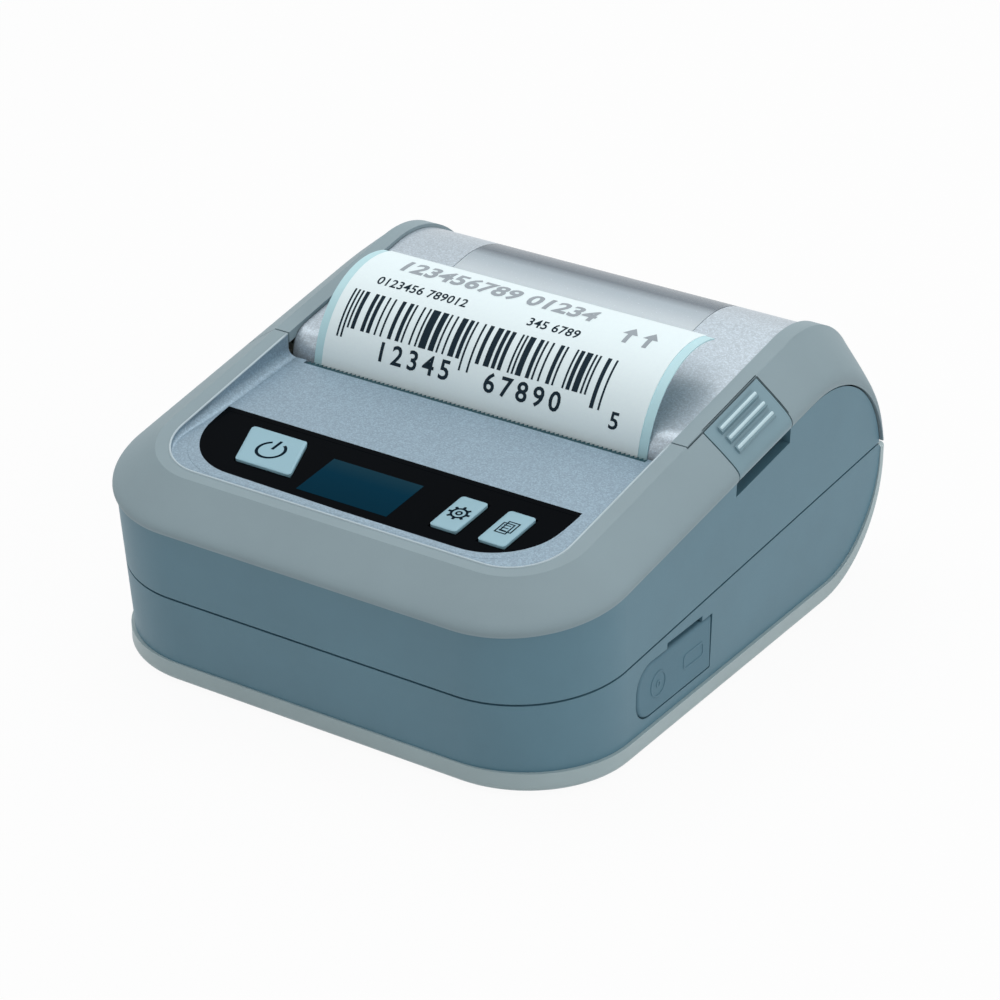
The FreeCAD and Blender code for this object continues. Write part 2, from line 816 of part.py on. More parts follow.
lower = case_shell.common(under(parting_z)).common(skirt_form())
groove = wall_form(0).cut(wall_form(d.groove_depth)).cut(under(lambda y: parting_z(y) - d.parting_groove))
lower = lower.cut(groove)
lower = lower.cut(hinge_rod(d.hinge_relief, -span, 2 * span))
lower = lower.cut(port_shape(0, (d.port_board_outer, span)))
port_middle = d.port_low + d.port_height / 2
port_x = half_case - d.side_lean * (1 - port_middle / d.boundary_front) + d.port_proud
port_hinge_x = port_x - d.port_pin_depth
port_hinge_y = port_rear - d.port_axis_inset
notch = slab((port_x - d.port_thick, span), (d.notch_front, d.notch_front + d.notch_length),
             (d.port_low + d.port_height - d.notch_height, d.port_low + d.port_height + d.notch_height))
lower = lower.cut(notch)
pin_reach = d.port_pin_length + d.port_gap
pin_room = Part.makeCylinder(d.port_pin_radius + d.running_gap, d.port_height + 2 * pin_reach,
                             Vector(port_hinge_x, port_hinge_y, d.port_low - pin_reach))
lower = lower.cut(pin_room)
add("lower_case", lower)

# Upper case: the wall ring between the parting line and the trim, with the slot under the latch.
upper = case_shell.common(shoulder(0)).cut(under(parting_z))
latch_rear = d.latch_front + d.latch_length
recess_y = (d.latch_front - d.lid_gap, latch_rear + d.lid_gap)
recess = slab((half_case - d.recess_depth, span), recess_y, (0, far_top))
recess = recess.cut(under(lambda y: boundary_z(y) - d.recess_height))
add("upper_case", upper.cut(recess))

# Front trim: a swelling frame round the panel, with a wall and ledge inside its opening.
opening = column(half_seam, y_seam, seam_round)
trim = trim_form(0).cut(trim_form(d.wall)).common(front_zone).cut(opening)
ledge_low = under(lambda y: panel_z(y) - d.panel_thick - d.ledge_height)
before_skirt_end = slab((-span, span), (far_front, d.skirt_end), (0, far_top))
ring = column(half_seam + d.skirt_thick, y_seam - d.skirt_thick, seam_round + d.skirt_thick)
ring = ring.common(before_skirt_end).cut(ledge_low)
ledge = column(half_seam - d.ledge_width, y_seam + d.ledge_width, seam_round - d.ledge_width)
skirt = ring.cut(opening).common(under(lambda y: ridge_z(y) - d.wall / 2))
ledge = ring.cut(ledge).common(under(lambda y: panel_z(y) - d.panel_thick))
cheek = slab((-half_seam - d.skirt_thick, half_seam + d.skirt_thick), (d.skirt_end, d.lid_seam), (0, far_top))
cheek = cheek.cut(opening).cut(under(lambda y: panel_z(y) - d.panel_thick))
cheek = cheek.common(under(lambda y: ridge_z(y) - d.wall / 2))
add("front_trim", trim.fuse(skirt).fuse(ledge).fuse(cheek).removeSplitter())


lean = math.tan(paper_lean)
brow_low = ridge_z(0) - (d.lip_radius + d.lid_recess) / math.cos(ridge_angle)
brow_back = paper_line_y(brow_low) + d.lip_radius / math.cos(paper_lean)
brow_y = brow_back / (1 - lean * d.ridge_rise_share)
brow_z = brow_low + d.ridge_rise_share * brow_y


def lid_form(inset):
    """Everything under the lid's skin: leaning lip, round brow, rising top and round nose."""
    radius = d.lip_radius + d.lid_recess - inset
    ridge_turn = math.pi / 2 + ridge_angle
    lip_y = paper_line_y(d.lip_low) + (inset - d.lid_recess) / math.cos(paper_lean)
    return across((lip_y, d.lip_low), (nose_y, d.lip_low), (nose_y, nose_z),
                  bow(nose_y, nose_z, d.nose_radius - inset, 0, ridge_turn),
                  bow(brow_y, brow_z, radius, ridge_turn, math.pi - paper_lean))


def band(top, bottom):
    return lid_form(top).cut(lid_form(bottom))


def both_sides(inner_x, outer_x, y, z):
    return slab((inner_x, outer_x), y, z).fuse(slab((-outer_x, -inner_x), y, z))


# Lid trim: the side strips, the nose's rear wall and the hinge knuckles.
lid_front = d.lid_seam + d.lid_gap
lid_zone = slab((-span, span), (lid_front, far_rear), (0, far_top))
latch_room = slab((d.latch_inner - d.lid_gap, span), (far_front, latch_rear + d.lid_gap), (0, far_top))
lid_zone = lid_zone.cut(latch_room)
lid_trim = nose_shell.cut(shoulder(d.lid_gap)).common(lid_zone)
lid_trim = lid_trim.cut(under(lambda y: parting_z(y) + d.lid_gap))
lid_trim = lid_trim.cut(slab((-half_seam, half_seam), (far_front, far_rear), (d.lid_rear_edge, far_top)))
for start in lid_knuckles:
    lid_trim = lid_trim.fuse(hinge_rod(d.knuckle_radius, start, d.knuckle_length))
for start in base_knuckles:
    room = hinge_rod(d.knuckle_radius + d.lid_gap, start - d.knuckle_gap, d.base_knuckle + 2 * d.knuckle_gap)
    lid_trim = lid_trim.cut(room)
add("lid_trim", lid_trim.cut(hinge_rod(d.pin_radius + d.running_gap, -span, 2 * span)))

# Lid panel: the bent silver skin from the lip over the top to the nose, round the window's opening.
skin_bottom = d.lid_recess + d.lid_thick
skin_half = half_seam - d.panel_gap
panel_zone = slab((-skin_half, skin_half), (far_front, far_rear), (d.lid_rear_edge + d.panel_gap, far_top))
glass_zone = slab((-d.glass_half, d.glass_half), (d.glass_front, far_rear), (d.glass_rear, far_top))
flange_zone = both_sides(skin_half - d.flange_lap, half_seam + d.flange_reach, (d.glass_front, far_rear),
                         (d.lid_rear_edge + d.flange_reach, far_top))
lid_panel = band(d.lid_recess, skin_bottom).common(panel_zone).cut(glass_zone)
add("lid_panel", lid_panel.fuse(band(d.wall, d.wall + d.lid_flange).common(flange_zone)))

# Lid window: smoky sheet in the opening, with a flange under the panel's edge.
pane_half = d.glass_half - d.panel_gap
pane_zone = slab((-pane_half, pane_half), (d.glass_front + d.panel_gap, far_rear),
                 (d.glass_rear + d.panel_gap, far_top))
lap_half = d.glass_half + d.glass_lap
lap_zone = slab((-lap_half, lap_half), (d.glass_front - d.glass_lap, far_rear),
                (d.glass_rear - d.glass_lap, far_top))
pane = band(d.lid_recess, skin_bottom).common(pane_zone)
add("lid_window", pane.fuse(band(skin_bottom, skin_bottom + d.glass_flange).common(lap_zone)))

# Platen carrier: a bar behind the lip with two ears that hold the platen's bushings.
ear_outer = d.ear_inner + d.ear_thick
carrier_low = d.lip_low + d.lid_recess
carrier_zone = slab((-ear_outer, ear_outer), (far_front, d.carrier_rear), (carrier_low, far_top))
carrier = band(skin_bottom, skin_bottom + d.carrier_thick).common(carrier_zone)
ear_z = (platen_z, brow_z + d.lid_recess)
carrier = carrier.fuse(both_sides(d.ear_inner, ear_outer, (d.ear_front, d.ear_rear), ear_z))
for start in (d.ear_inner, -ear_outer):
    hub = Part.makeCylinder(d.hub_radius, d.ear_thick, Vector(start, platen_y, platen_z), X_AXIS)
    carrier = carrier.fuse(hub)
bushing_bore = Part.makeCylinder(d.bushing_radius, 2 * span, Vector(-span, platen_y, platen_z), X_AXIS)
add("platen_carrier", carrier.cut(bushing_bore))


def strip(width, low, high):
    """A sheet that rises along the lip and then curls back over the lid."""
    lip_turn = math.pi - paper_lean
    end_turn = lip_turn - math.radians(d.curl_angle)
    rise_y = brow_y + d.lip_radius * math.cos(lip_turn)
    rise_z = brow_z + d.lip_radius * math.sin(lip_turn)
    centre_y = rise_y - d.curl_radius * math.cos(lip_turn)
    centre_z = rise_z - d.curl_radius * math.sin(lip_turn)
    foot_y = paper_line_y(d.lip_low)
    inner_bow = bow(centre_y, centre_z, d.curl_radius + low, end_turn, lip_turn)
    outer_bow = bow(centre_y, centre_z, d.curl_radius + high, lip_turn, end_turn)
    foot = []
    for out in (low, high):
        foot.append((foot_y - out * math.cos(paper_lean), d.lip_low + out * math.sin(paper_lean)))
    return across(inner_bow, *foot, outer_bow, left=-width / 2, right=width / 2)


add("liner", strip(d.paper_width, 0, d.liner_thick))
add("label", strip(d.label_width, d.liner_thick, d.liner_thick + d.label_thick))

# Front panel, its black window and the keys lie in the panel's tilted frame.
PANEL_REAR = f"((panel_rear - {Y_SEAM}) * {PANEL_STRETCH})"
TEAR_FRONT = f"((tear_front - {Y_SEAM}) * {PANEL_STRETCH})"
KEYS = {
    "power_button": ("power_left", "power_front", "power_width", "power_length", "power_skew"),
    "settings_button": ("settings_left", "key_front", "key_width", "key_length", "0 * wall"),
    "feed_button": ("feed_left", "key_front", "key_width", "key_length", "0 * wall"),
}
DISPLAY = ("display_left", "display_front", "display_width", "display_length", "0 * wall")
WINDOW = rectangle("(window_shift - window_width / 2)", "window_front", "window_width",
                   "(window_rear - window_front)")

panel = start_body("front_panel", panel_frame)
sheet_half = f"({HALF_SEAM} - panel_gap)"
raise_pad(panel, polygon(panel, rectangle(f"-{sheet_half}", "panel_gap", f"2 * {sheet_half}",
                                          f"({PANEL_REAR} - panel_gap)")), "panel_thick", down=True)
sink_pocket(panel, polygon(panel, WINDOW), "window_thick")
round_uprights(panel, "window_round", lambda u, v: abs(v - d.window_front) < d.running_gap)
round_uprights(panel, "corner_radius - seam_side - panel_gap", lambda u, v: v < d.window_front / 2)
for opening_sizes in (*KEYS.values(), DISPLAY):
    sink_pocket(panel, polygon(panel, widened(*opening_sizes, "key_gap")), "panel_thick")
seat = rectangle("-tear_half", TEAR_FRONT, "2 * tear_half", f"({PANEL_REAR} - {TEAR_FRONT} + wall)")
sink_pocket(panel, polygon(panel, seat), "tear_sink + tear_thick")

window = start_body("control_window", panel_frame)
raise_pad(window, polygon(window, WINDOW), "window_thick", down=True)
round_uprights(window, "window_round", lambda u, v: abs(v - d.window_front) < d.running_gap)
for opening_sizes in KEYS.values():
    sink_pocket(window, polygon(window, widened(*opening_sizes, "key_gap")), "window_thick")

display = start_body("display_module", panel_frame)
raise_pad(display, polygon(display, rectangle(*DISPLAY), "-board_drop"), "board_drop - window_thick")

key_board = start_body("key_board", panel_frame)
board_outline = rectangle("key_board_left", "key_board_front", "key_board_width", "key_board_length")
raise_pad(key_board, polygon(key_board, board_outline, "-board_drop"), "board_thick", down=True)

switches = []
for label, key_sizes in KEYS.items():
    left, front, width, length, skew = key_sizes
    middle = (f"({left} + {width} / 2 + {skew} / 2)", f"({front} + {length} / 2)")
    key = start_body(label, panel_frame)
    raise_pad(key, polygon(key, rectangle(*key_sizes), "-panel_thick"), "panel_thick + key_proud")
    round_uprights(key, "key_round", lambda u, v: True)
    flange = widened(*key_sizes, "key_flange")
    raise_pad(key, polygon(key, flange, "-panel_thick"), "flange_thick", down=True)
    stem_drop = "board_drop - switch_height - key_travel - running_gap - panel_thick - flange_thick"
    raise_pad(key, disc(key, middle, "stem_radius", "-panel_thick - flange_thick"), stem_drop, down=True)
    switch = doc.addObject("Part::Box", label + "_switch")
    bind(switch, Length="switch_side", Width="switch_side", Height="switch_height")
    half_side = d.switch_side / 2
    corner = Vector(worth(middle[0]) - half_side, worth(middle[1]) - half_side, -d.board_drop)
    switch.Placement = panel_frame.multiply(Placement(corner, Rotation()))
    switches.append(switch)
keep("key_switches", fuse("key_switches", *switches))

# Tear bar: a thin strip with a saw edge towards the paper.
tear_front = (d.tear_front - y_seam) / math.cos(panel_angle)
tear_rear = tear_front + d.tear_depth
pitch = 2 * d.tear_half / d.tooth_count
saw = [(-d.tear_half, tear_front), (d.tear_half, tear_front)]
for tooth in range(int(d.tooth_count)):
    saw.append((d.tear_half - tooth * pitch, tear_rear))
    saw.append((d.tear_half - (tooth + 0.5) * pitch, tear_rear + d.tooth_depth))
saw.append((-d.tear_half, tear_rear))
blade = Part.Face(traced(saw, lambda point: Vector(point[0], point[1], -d.tear_sink - d.tear_thick)))
add("tear_bar", blade.extrude(Vector(0, 0, d.tear_thick)), panel_frame)

# Print head and its heat sink lean with the paper line.
head_frame = Placement(Vector(0, paper_line_y(d.nip_z), d.nip_z), Rotation(X_AXIS, -d.paper_lean_angle))


def head_block(label, half, front, rear, low, high):
    piece = doc.addObject("Part::Box", label)
    bind(piece, Length=f"2 * ({half})", Width=f"{rear} - ({front})", Height=f"{high} + {low}")
    corner = Vector(-worth(half), worth(front), -worth(low))
    piece.Placement = head_frame.multiply(Placement(corner, Rotation()))
    return keep(label, piece)


head_block("print_head", "tear_half", "-head_gap - head_thick", "-head_gap", "head_low", "head_high")
head_block("heat_sink", "frame_inner", "-head_gap - head_thick - sink_thick", "-head_gap - head_thick",
           "sink_low", "sink_high")


FLANK_SHARES = (0.0, 0.3, 0.65, 1.0)


def gear(teeth, phase, bore, start, face):
    """A spur gear about X at the origin of (y, z), with involute flanks cut back for backlash."""
    pressure = math.radians(d.pressure_angle)
    pitch_radius = d.gear_module * teeth / 2
    base = pitch_radius * math.cos(pressure)
    tip = pitch_radius + d.addendum_share * d.gear_module
    root = pitch_radius - d.dedendum_share * d.gear_module
    half = math.pi / (2 * teeth) - d.gear_backlash / (2 * pitch_radius)
    half += math.tan(pressure) - pressure
    flank_start = max(base, root)
    flank = [(root, half)] if root < base else []
    for share in FLANK_SHARES:
        radius = flank_start + share * (tip - flank_start)
        roll = math.acos(min(1.0, base / radius))
        flank.append((radius, half - math.tan(roll) + roll))
    outline = []
    for tooth in range(int(teeth)):
        middle = phase + 2 * math.pi * tooth / teeth
        for side, points in ((-1, flank), (1, flank[::-1])):
            for radius, turn in points:
                place = middle + side * turn
                outline.append((radius * math.cos(place), radius * math.sin(place)))
    solid = across(*outline, left=start, right=start + face)
    return solid.cut(Part.makeCylinder(bore, 2 * span, Vector(-span, 0, 0), X_AXIS))


def mesh_phase(teeth, turn, other_teeth, other_phase):
    """The phase of a gear that lies in the direction of a turn from another gear."""
    return turn + math.pi + math.pi / teeth + (turn - other_phase) * other_teeth / teeth


idler_turn = math.radians(d.idler_angle)
pinion_turn = math.radians(d.pinion_angle)
idler_reach = d.gear_module * (d.platen_teeth_count + d.small_teeth_count) / 2
pinion_reach = d.gear_module * (d.wheel_teeth_count + d.pinion_teeth_count) / 2
idler_y = platen_y + idler_reach * math.cos(idler_turn)
idler_z = platen_z + idler_reach * math.sin(idler_turn)
pinion_y = idler_y + pinion_reach * math.cos(pinion_turn)
pinion_z = idler_z + pinion_reach * math.sin(pinion_turn)
IDLER_Y = f"({PLATEN_Y} + gear_module * (platen_teeth_count + small_teeth_count) / 2 * cos(idler_angle))"
IDLER_Z = f"({PLATEN_Z} + gear_module * (platen_teeth_count + small_teeth_count) / 2 * sin(idler_angle))"
PINION_Y = f"({IDLER_Y} + gear_module * (wheel_teeth_count + pinion_teeth_count) / 2 * cos(pinion_angle))"
PINION_Z = f"({IDLER_Z} + gear_module * (wheel_teeth_count + pinion_teeth_count) / 2 * sin(pinion_angle))"

small_start = -d.gear_inner - d.gear_face
wheel_start = small_start - d.wheel_step - d.wheel_face
platen_gear = gear(d.platen_teeth_count, 0, d.journal_radius, small_start, d.gear_face)
add("platen_gear", platen_gear, Placement(Vector(0, platen_y, platen_z), Rotation()))
small_phase = mesh_phase(d.small_teeth_count, idler_turn, d.platen_teeth_count, 0)
stud_bore = d.stud_radius + d.running_gap
reduction = gear(d.small_teeth_count, small_phase, stud_bore, small_start - d.wheel_step,
                 d.gear_face + d.wheel_step)
reduction = reduction.fuse(gear(d.wheel_teeth_count, small_phase, stud_bore, wheel_start, d.wheel_face))
add("reduction_gear", reduction, Placement(Vector(0, idler_y, idler_z), Rotation()))
pinion_phase = mesh_phase(d.pinion_teeth_count, pinion_turn, d.wheel_teeth_count, small_phase)
pinion = gear(d.pinion_teeth_count, pinion_phase, d.motor_shaft_radius, wheel_start, d.wheel_face)
add("motor_pinion", pinion, Placement(Vector(0, pinion_y, pinion_z), Rotation()))

# Platen: rubber sleeve on a stepped shaft in two bushings.
PLATEN = {"y": PLATEN_Y, "z": PLATEN_Z}
sleeve = rod("platen_sleeve", "platen_radius", ("-platen_half", "platen_half"), **PLATEN)
sleeve_bore = rod("platen_sleeve_bore", "shaft_radius", ("-platen_half", "platen_half"), **PLATEN)
keep("platen_roller", cut("platen_roller", sleeve, sleeve_bore))
shaft_end = "(ear_inner - 4 * running_gap)"
thick_shaft = rod("thick_shaft", "shaft_radius", (f"-{shaft_end}", shaft_end), **PLATEN)
thin_stretch = ("-gear_inner - gear_face", "ear_inner + 2 * ear_thick")
thin_shaft = rod("thin_shaft", "journal_radius", thin_stretch, **PLATEN)
keep("platen_shaft", fuse("platen_shaft", thick_shaft, thin_shaft))
bushings = []
for side, reach in (("left", "-ear_inner - ear_thick"), ("right", "ear_inner")):
    stretch = (reach, f"{reach} + ear_thick")
    outside = rod(f"bushing_{side}", "bushing_radius", stretch, **PLATEN)
    inside = rod(f"bushing_{side}_bore", "journal_radius + running_gap", stretch, **PLATEN)
    bushings.append(cut(f"bushing_{side}_ring", outside, inside))
keep("platen_bushings", fuse("platen_bushings", *bushings))

# Roll of labels on its card core.
ROLL = {"y": "roll_y", "z": ROLL_Z}
roll_stretch = ("-paper_width / 2", "paper_width / 2")
roll_bulk = rod("roll_bulk", "roll_radius", roll_stretch, **ROLL)
keep("label_roll", cut("label_roll", roll_bulk, rod("roll_hole", "core_radius", roll_stretch, **ROLL)))
core_bulk = rod("core_bulk", "core_radius", roll_stretch, **ROLL)
keep("roll_core", cut("roll_core", core_bulk, rod("core_hole", "bore_radius", roll_stretch, **ROLL)))

# Inner frame: roll trough with end walls, a deck on ribs and a shelf for the port board.
bay_half = "(paper_width / 2 + bay_side_gap)"
bay_outer = "(roll_radius + bay_gap + bay_thick)"
bay_stretch = (f"-{bay_half}", bay_half)
tube = cut("bay_tube", rod("bay_outside", bay_outer, bay_stretch, **ROLL),
           rod("bay_inside", "roll_radius + bay_gap", bay_stretch, **ROLL))
bay_depth = (f"roll_y - {bay_outer}", f"roll_y + {bay_outer}")
bay_low = block("bay_low", bay_stretch, bay_depth, (FLOOR, ROLL_Z))
bay_lip = block("bay_lip", bay_stretch, (f"roll_y - {bay_outer}", "roll_y - roll_radius / 2"),
                (FLOOR, "bay_front_top"))
frame_parts = [common("bay_trough", tube, fuse("bay_zone", bay_low, bay_lip))]
for side, reach in (("left", f"-{bay_half} - bay_thick"), ("right", bay_half)):
    stretch = (reach, f"{reach} + bay_thick")
    plate = rod(f"bay_disc_{side}", bay_outer, stretch, **ROLL)
    kept = block(f"bay_disc_zone_{side}", stretch, bay_depth, (FLOOR, "bay_wall_top"))
    leg_depth = ("roll_y - roll_radius", "roll_y + core_radius")
    leg = block(f"bay_leg_{side}", stretch, leg_depth, (FLOOR, ROLL_Z))
    frame_parts += [common(f"bay_end_{side}", plate, kept), leg]
deck_low = "(deck_height - deck_thick)"
deck_depth = ("deck_front", "deck_rear")
frame_parts.append(block("deck", ("-deck_half", "deck_half"), deck_depth, (deck_low, DECK_TOP)))
for name, reach in (("rib_left_wall", "rib_left"), ("rib_right_wall", "rib_right")):
    rib_stretch = (reach, f"{reach} + rib_thick")
    frame_parts.append(block(name, rib_stretch, ("deck_front", "frame_rear"), (FLOOR, deck_low)))
shelf_top = "(port_board_height - board_thick)"
shelf_depth = ("port_front + board_thick", "port_front + port_length - board_thick")
frame_parts.append(block("shelf", ("rib_right", "port_board_outer - board_thick"), shelf_depth,
                         (f"{shelf_top} - pedestal_thick", shelf_top)))
shelf_ribs = {"shelf_rib_front": shelf_depth[0], "shelf_rib_rear": f"{shelf_depth[1]} - rib_thick"}
for name, place in shelf_ribs.items():
    frame_parts.append(block(name, ("rib_right", "port_board_outer - board_thick"),
                             (place, f"{place} + rib_thick"), (FLOOR, shelf_top)))
keep("inner_frame", fuse("inner_frame", *frame_parts))

# Print mechanism: two side plates and a cross beam, with the motor and the idler's stud.
frame_outer = "(frame_inner + frame_thick)"
plate_depth = ("frame_front", "frame_rear")
plates = [
    block("plate_left", (f"-{frame_outer}", "-frame_inner"), plate_depth, (DECK_TOP, "frame_top")),
    block("plate_right", ("frame_inner", frame_outer), plate_depth, (DECK_TOP, "frame_top")),
    block("plate_stud", (f"-{frame_outer}", "-frame_inner"), ("frame_rear - wall", "stud_plate_rear"),
          (DECK_TOP, "stud_plate_top")),
    block("beam", (f"-{frame_outer}", frame_outer), ("beam_front", "beam_front + beam_thick"),
          ("beam_low", "frame_top")),
]
IDLER = {"y": IDLER_Y, "z": IDLER_Z}
PINION = {"y": PINION_Y, "z": PINION_Z}
plate_stretch = ("-frame_inner - 2 * frame_thick", "-frame_inner + frame_thick")
holes = fuse("plate_holes", rod("stud_hole", "stud_radius", plate_stretch, **IDLER),
             rod("motor_hole", "motor_shaft_radius + running_gap", plate_stretch, **PINION))
keep("mech_frame", cut("mech_frame", fuse("mech_plates", *plates), holes))
stud_tip = "(-gear_inner - gear_face - 2 * wheel_step - wheel_face)"
keep("idler_stud", rod("idler_stud", "stud_radius", (stud_tip, "-frame_inner"), **IDLER))
keep("motor", rod("motor", "motor_radius", ("-frame_inner", "motor_length - frame_inner"), **PINION))
keep("motor_shaft", rod("motor_shaft", "motor_shaft_radius", (stud_tip, "-frame_inner"), **PINION))

# Boards, their larger parts and the battery.
main_depth = ("main_front", "main_front + main_length")
keep("main_board", block("main_board", ("main_left", "main_left + main_width"), main_depth,
                         (DECK_TOP, "deck_height + board_thick")))
# Place and size as shares of the board's width and length, height in board thicknesses.
CHIP_SHARES = ((0.1, 0.15, 0.2, 0.36, 1), (0.42, 0.3, 0.13, 0.26, 1), (0.65, 0.1, 0.16, 0.2, 3),
               (0.7, 0.6, 0.22, 0.2, 4), (0.15, 0.72, 0.4, 0.14, 3))
chips = []
for number, (left, front, width, length, height) in enumerate(CHIP_SHARES):
    chip_left = f"(main_left + {left} * main_width)"
    chip_front = f"(main_front + {front} * main_length)"
    chips.append(block(f"chip_{number}", (chip_left, f"{chip_left} + {width} * main_width"),
                       (chip_front, f"{chip_front} + {length} * main_length"),
                       ("deck_height + board_thick", f"deck_height + board_thick + {height} * board_thick")))
keep("board_parts", fuse("board_parts", *chips))
battery = start_body("battery_pack", Placement())
battery_outline = rectangle("battery_left", "battery_front", "battery_width", "battery_length")
raise_pad(battery, polygon(battery, battery_outline, FLOOR), "battery_height")
round_uprights(battery, "battery_round", lambda u, v: True)

# Port board with a power inlet and a data port that face the port cover.
board_stretch = ("port_board_inner", "port_board_outer")
keep("port_board", block("port_board", board_stretch, ("port_front", "port_front + port_length"),
                         (shelf_top, "port_board_height")))
jack_stretch = ("port_board_outer - jack_length", "port_board_outer")
jack_body = block("jack_body", jack_stretch, ("jack_front", "jack_front + jack_width"),
                  ("port_board_height", "port_board_height + jack_height"))
JACK = {"y": "jack_front + jack_width / 2", "z": "port_board_height + jack_height / 2"}
hole_stretch = ("port_board_outer - jack_depth", "port_board_outer + wall")
jack_hole = rod("jack_hole", "jack_bore", hole_stretch, **JACK)
pin_stretch = ("port_board_outer - jack_length", "port_board_outer - wall")
jack_pin = rod("jack_pin_rod", "jack_pin", pin_stretch, **JACK)
keep("dc_jack", fuse("dc_jack", cut("jack_shell", jack_body, jack_hole), jack_pin))
usb_stretch = ("port_board_outer - usb_length", "port_board_outer")
usb_body = block("usb_body", usb_stretch, ("usb_front", "usb_front + usb_width"),
                 ("port_board_height", "port_board_height + usb_height"))
usb_hole = block("usb_hole", ("port_board_outer - usb_length + wall", "port_board_outer + wall"),
                 ("usb_front + usb_wall", "usb_front + usb_width - usb_wall"),
                 ("port_board_height + usb_wall", "port_board_height + usb_height - usb_wall"))
usb_middle = "(port_board_height + usb_height / 2)"
usb_tongue = block("usb_tongue", ("port_board_outer - usb_length", "port_board_outer - wall / 2"),
                   ("usb_front + 4 * usb_wall", "usb_front + usb_width - 4 * usb_wall"),
                   (f"{usb_middle} - usb_wall", f"{usb_middle} + usb_wall"))
keep("usb_port", fuse("usb_port", cut("usb_shell", usb_body, usb_hole), usb_tongue))

# Port cover: a rubber flap on two small pins at its square rear end.
cover = port_shape(d.port_gap, (port_x - d.port_thick, port_x))
face_edges = [edge for edge in cover.Edges if edge.BoundBox.XMin > port_x - d.running_gap]
cover = cover.makeFillet(d.port_edge_round, face_edges)
pin_start = d.port_low + d.port_gap - d.port_pin_length
pin = Part.makeCylinder(d.port_pin_radius, d.port_height - 2 * d.port_gap + 2 * d.port_pin_length,
                        Vector(port_hinge_x, port_hinge_y, pin_start))
add("port_cover", cover.fuse(pin))

# Release latch: a ribbed piece of the trim that slides outwards and down along a leaning guide.
slide = math.radians(d.latch_slide_angle)
guide_run = (math.cos(slide), -math.sin(slide))
guide_out = (math.sin(slide), math.cos(slide))


def guide_point(run, out):
    x = d.guide_x + run * guide_run[0] + out * guide_out[0]
    z = d.guide_z + run * guide_run[1] + out * guide_out[1]
    return (x, z)


latch_zone = slab((d.latch_inner, span), (d.latch_front, latch_rear), (0, far_top))
latch = nose_shell.common(latch_zone).cut(under(lambda y: boundary_z(y) + d.latch_rise))
rib_skin = nose_form(-d.latch_rib).cut(nose_form(d.wall / 2)).common(side_form(-d.latch_rib))
rib_skin = rib_skin.cut(under(lambda y: boundary_z(y) + d.latch_rise))
RIB_SHARES = (0.24, 0.5, 0.76)
for share in RIB_SHARES:
    middle = d.latch_inner + share * (half_case - d.latch_inner)
    rib_x = (middle - d.latch_rib_width / 2, middle + d.latch_rib_width / 2)
    rib_y = (d.latch_front + d.latch_rib_margin, latch_rear - d.latch_rib_margin)
    latch = latch.fuse(rib_skin.common(slab(rib_x, rib_y, (0, far_top))))
leg_y = (d.latch_front + d.leg_margin, latch_rear - d.leg_margin)
leg = along(guide_point(0, 0), guide_point(d.leg_length, 0), guide_point(d.leg_length, d.leg_thick),
            guide_point(0, d.leg_thick), front=leg_y[0], rear=leg_y[1])
latch = latch.fuse(leg)
for web_front in (leg_y[0], leg_y[1] - d.leg_thick):
    web_end = guide_point(d.leg_length, d.trim_slope_width)
    web = along(guide_point(0, 0), guide_point(d.leg_length, 0), web_end,
                guide_point(0, d.trim_slope_width), front=web_front, rear=web_front + d.leg_thick)
    web = web.common(nose_form(d.wall / 2)).common(side_form(d.wall / 2))
    web = web.cut(under(lambda y: boundary_z(y) + d.latch_rise))
    latch = latch.fuse(web)
add("release_latch", latch)
shelf_z = d.guide_z - d.guide_length * math.sin(slide)
bracket = along((d.bracket_inner, d.bracket_low), (span, d.bracket_low), (span, shelf_z),
                guide_point(d.guide_length, 0), guide_point(0, 0), (d.bracket_inner, d.guide_z),
                front=leg_y[0], rear=leg_y[1])
add("latch_bracket", bracket.common(wall_form(d.wall)))

# Hinge pins and feet.
pins = []
pin_span = "(knuckle_inner - knuckle_gap - base_knuckle)"
pin_end = "(knuckle_inner + knuckle_length + knuckle_gap + base_knuckle)"
for side, stretch in (("left", (f"-{pin_end}", f"-{pin_span}")), ("right", (pin_span, pin_end))):
    pins.append(rod(f"pin_{side}", "pin_radius", stretch, HINGE_Y, "parting_rear"))
keep("hinge_pins", fuse("hinge_pins", *pins))
feet = []
for number, (x, y) in enumerate((x, y) for x in ("-foot_x", "foot_x") for y in ("foot_front", "foot_rear")):
    feet.append(post(f"foot_{number}", "foot_radius", x, y, ("0 * wall", "foot_drop + foot_sink")))
keep("feet", fuse("feet", *feet))

doc.recompute()
for piece in doc.Objects:
    if "Invalid" in piece.State or "Error" in piece.State:
        raise RuntimeError(f"{piece.Name} did not compute")
for label, piece in nodes.items():
    if piece.Shape.isNull() or not piece.Shape.isValid():
        raise RuntimeError(f"{label} has no valid shape")

os.makedirs("parts", exist_ok=True)
for label, piece in nodes.items():
    piece.Shape.exportStep(f"parts/{label}.step")
print(len(nodes), "pieces")
for name, place in {
    "hinge": (hinge_y, hinge_z), "platen": (platen_y, platen_z), "idler": (idler_y, idler_z),
    "pinion": (pinion_y, pinion_z), "port": (port_hinge_x, port_hinge_y),
    "panel": (y_seam, panel_z(y_seam)),
}.items():
    print(name, [round(value, 4) for value in place])
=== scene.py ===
import math

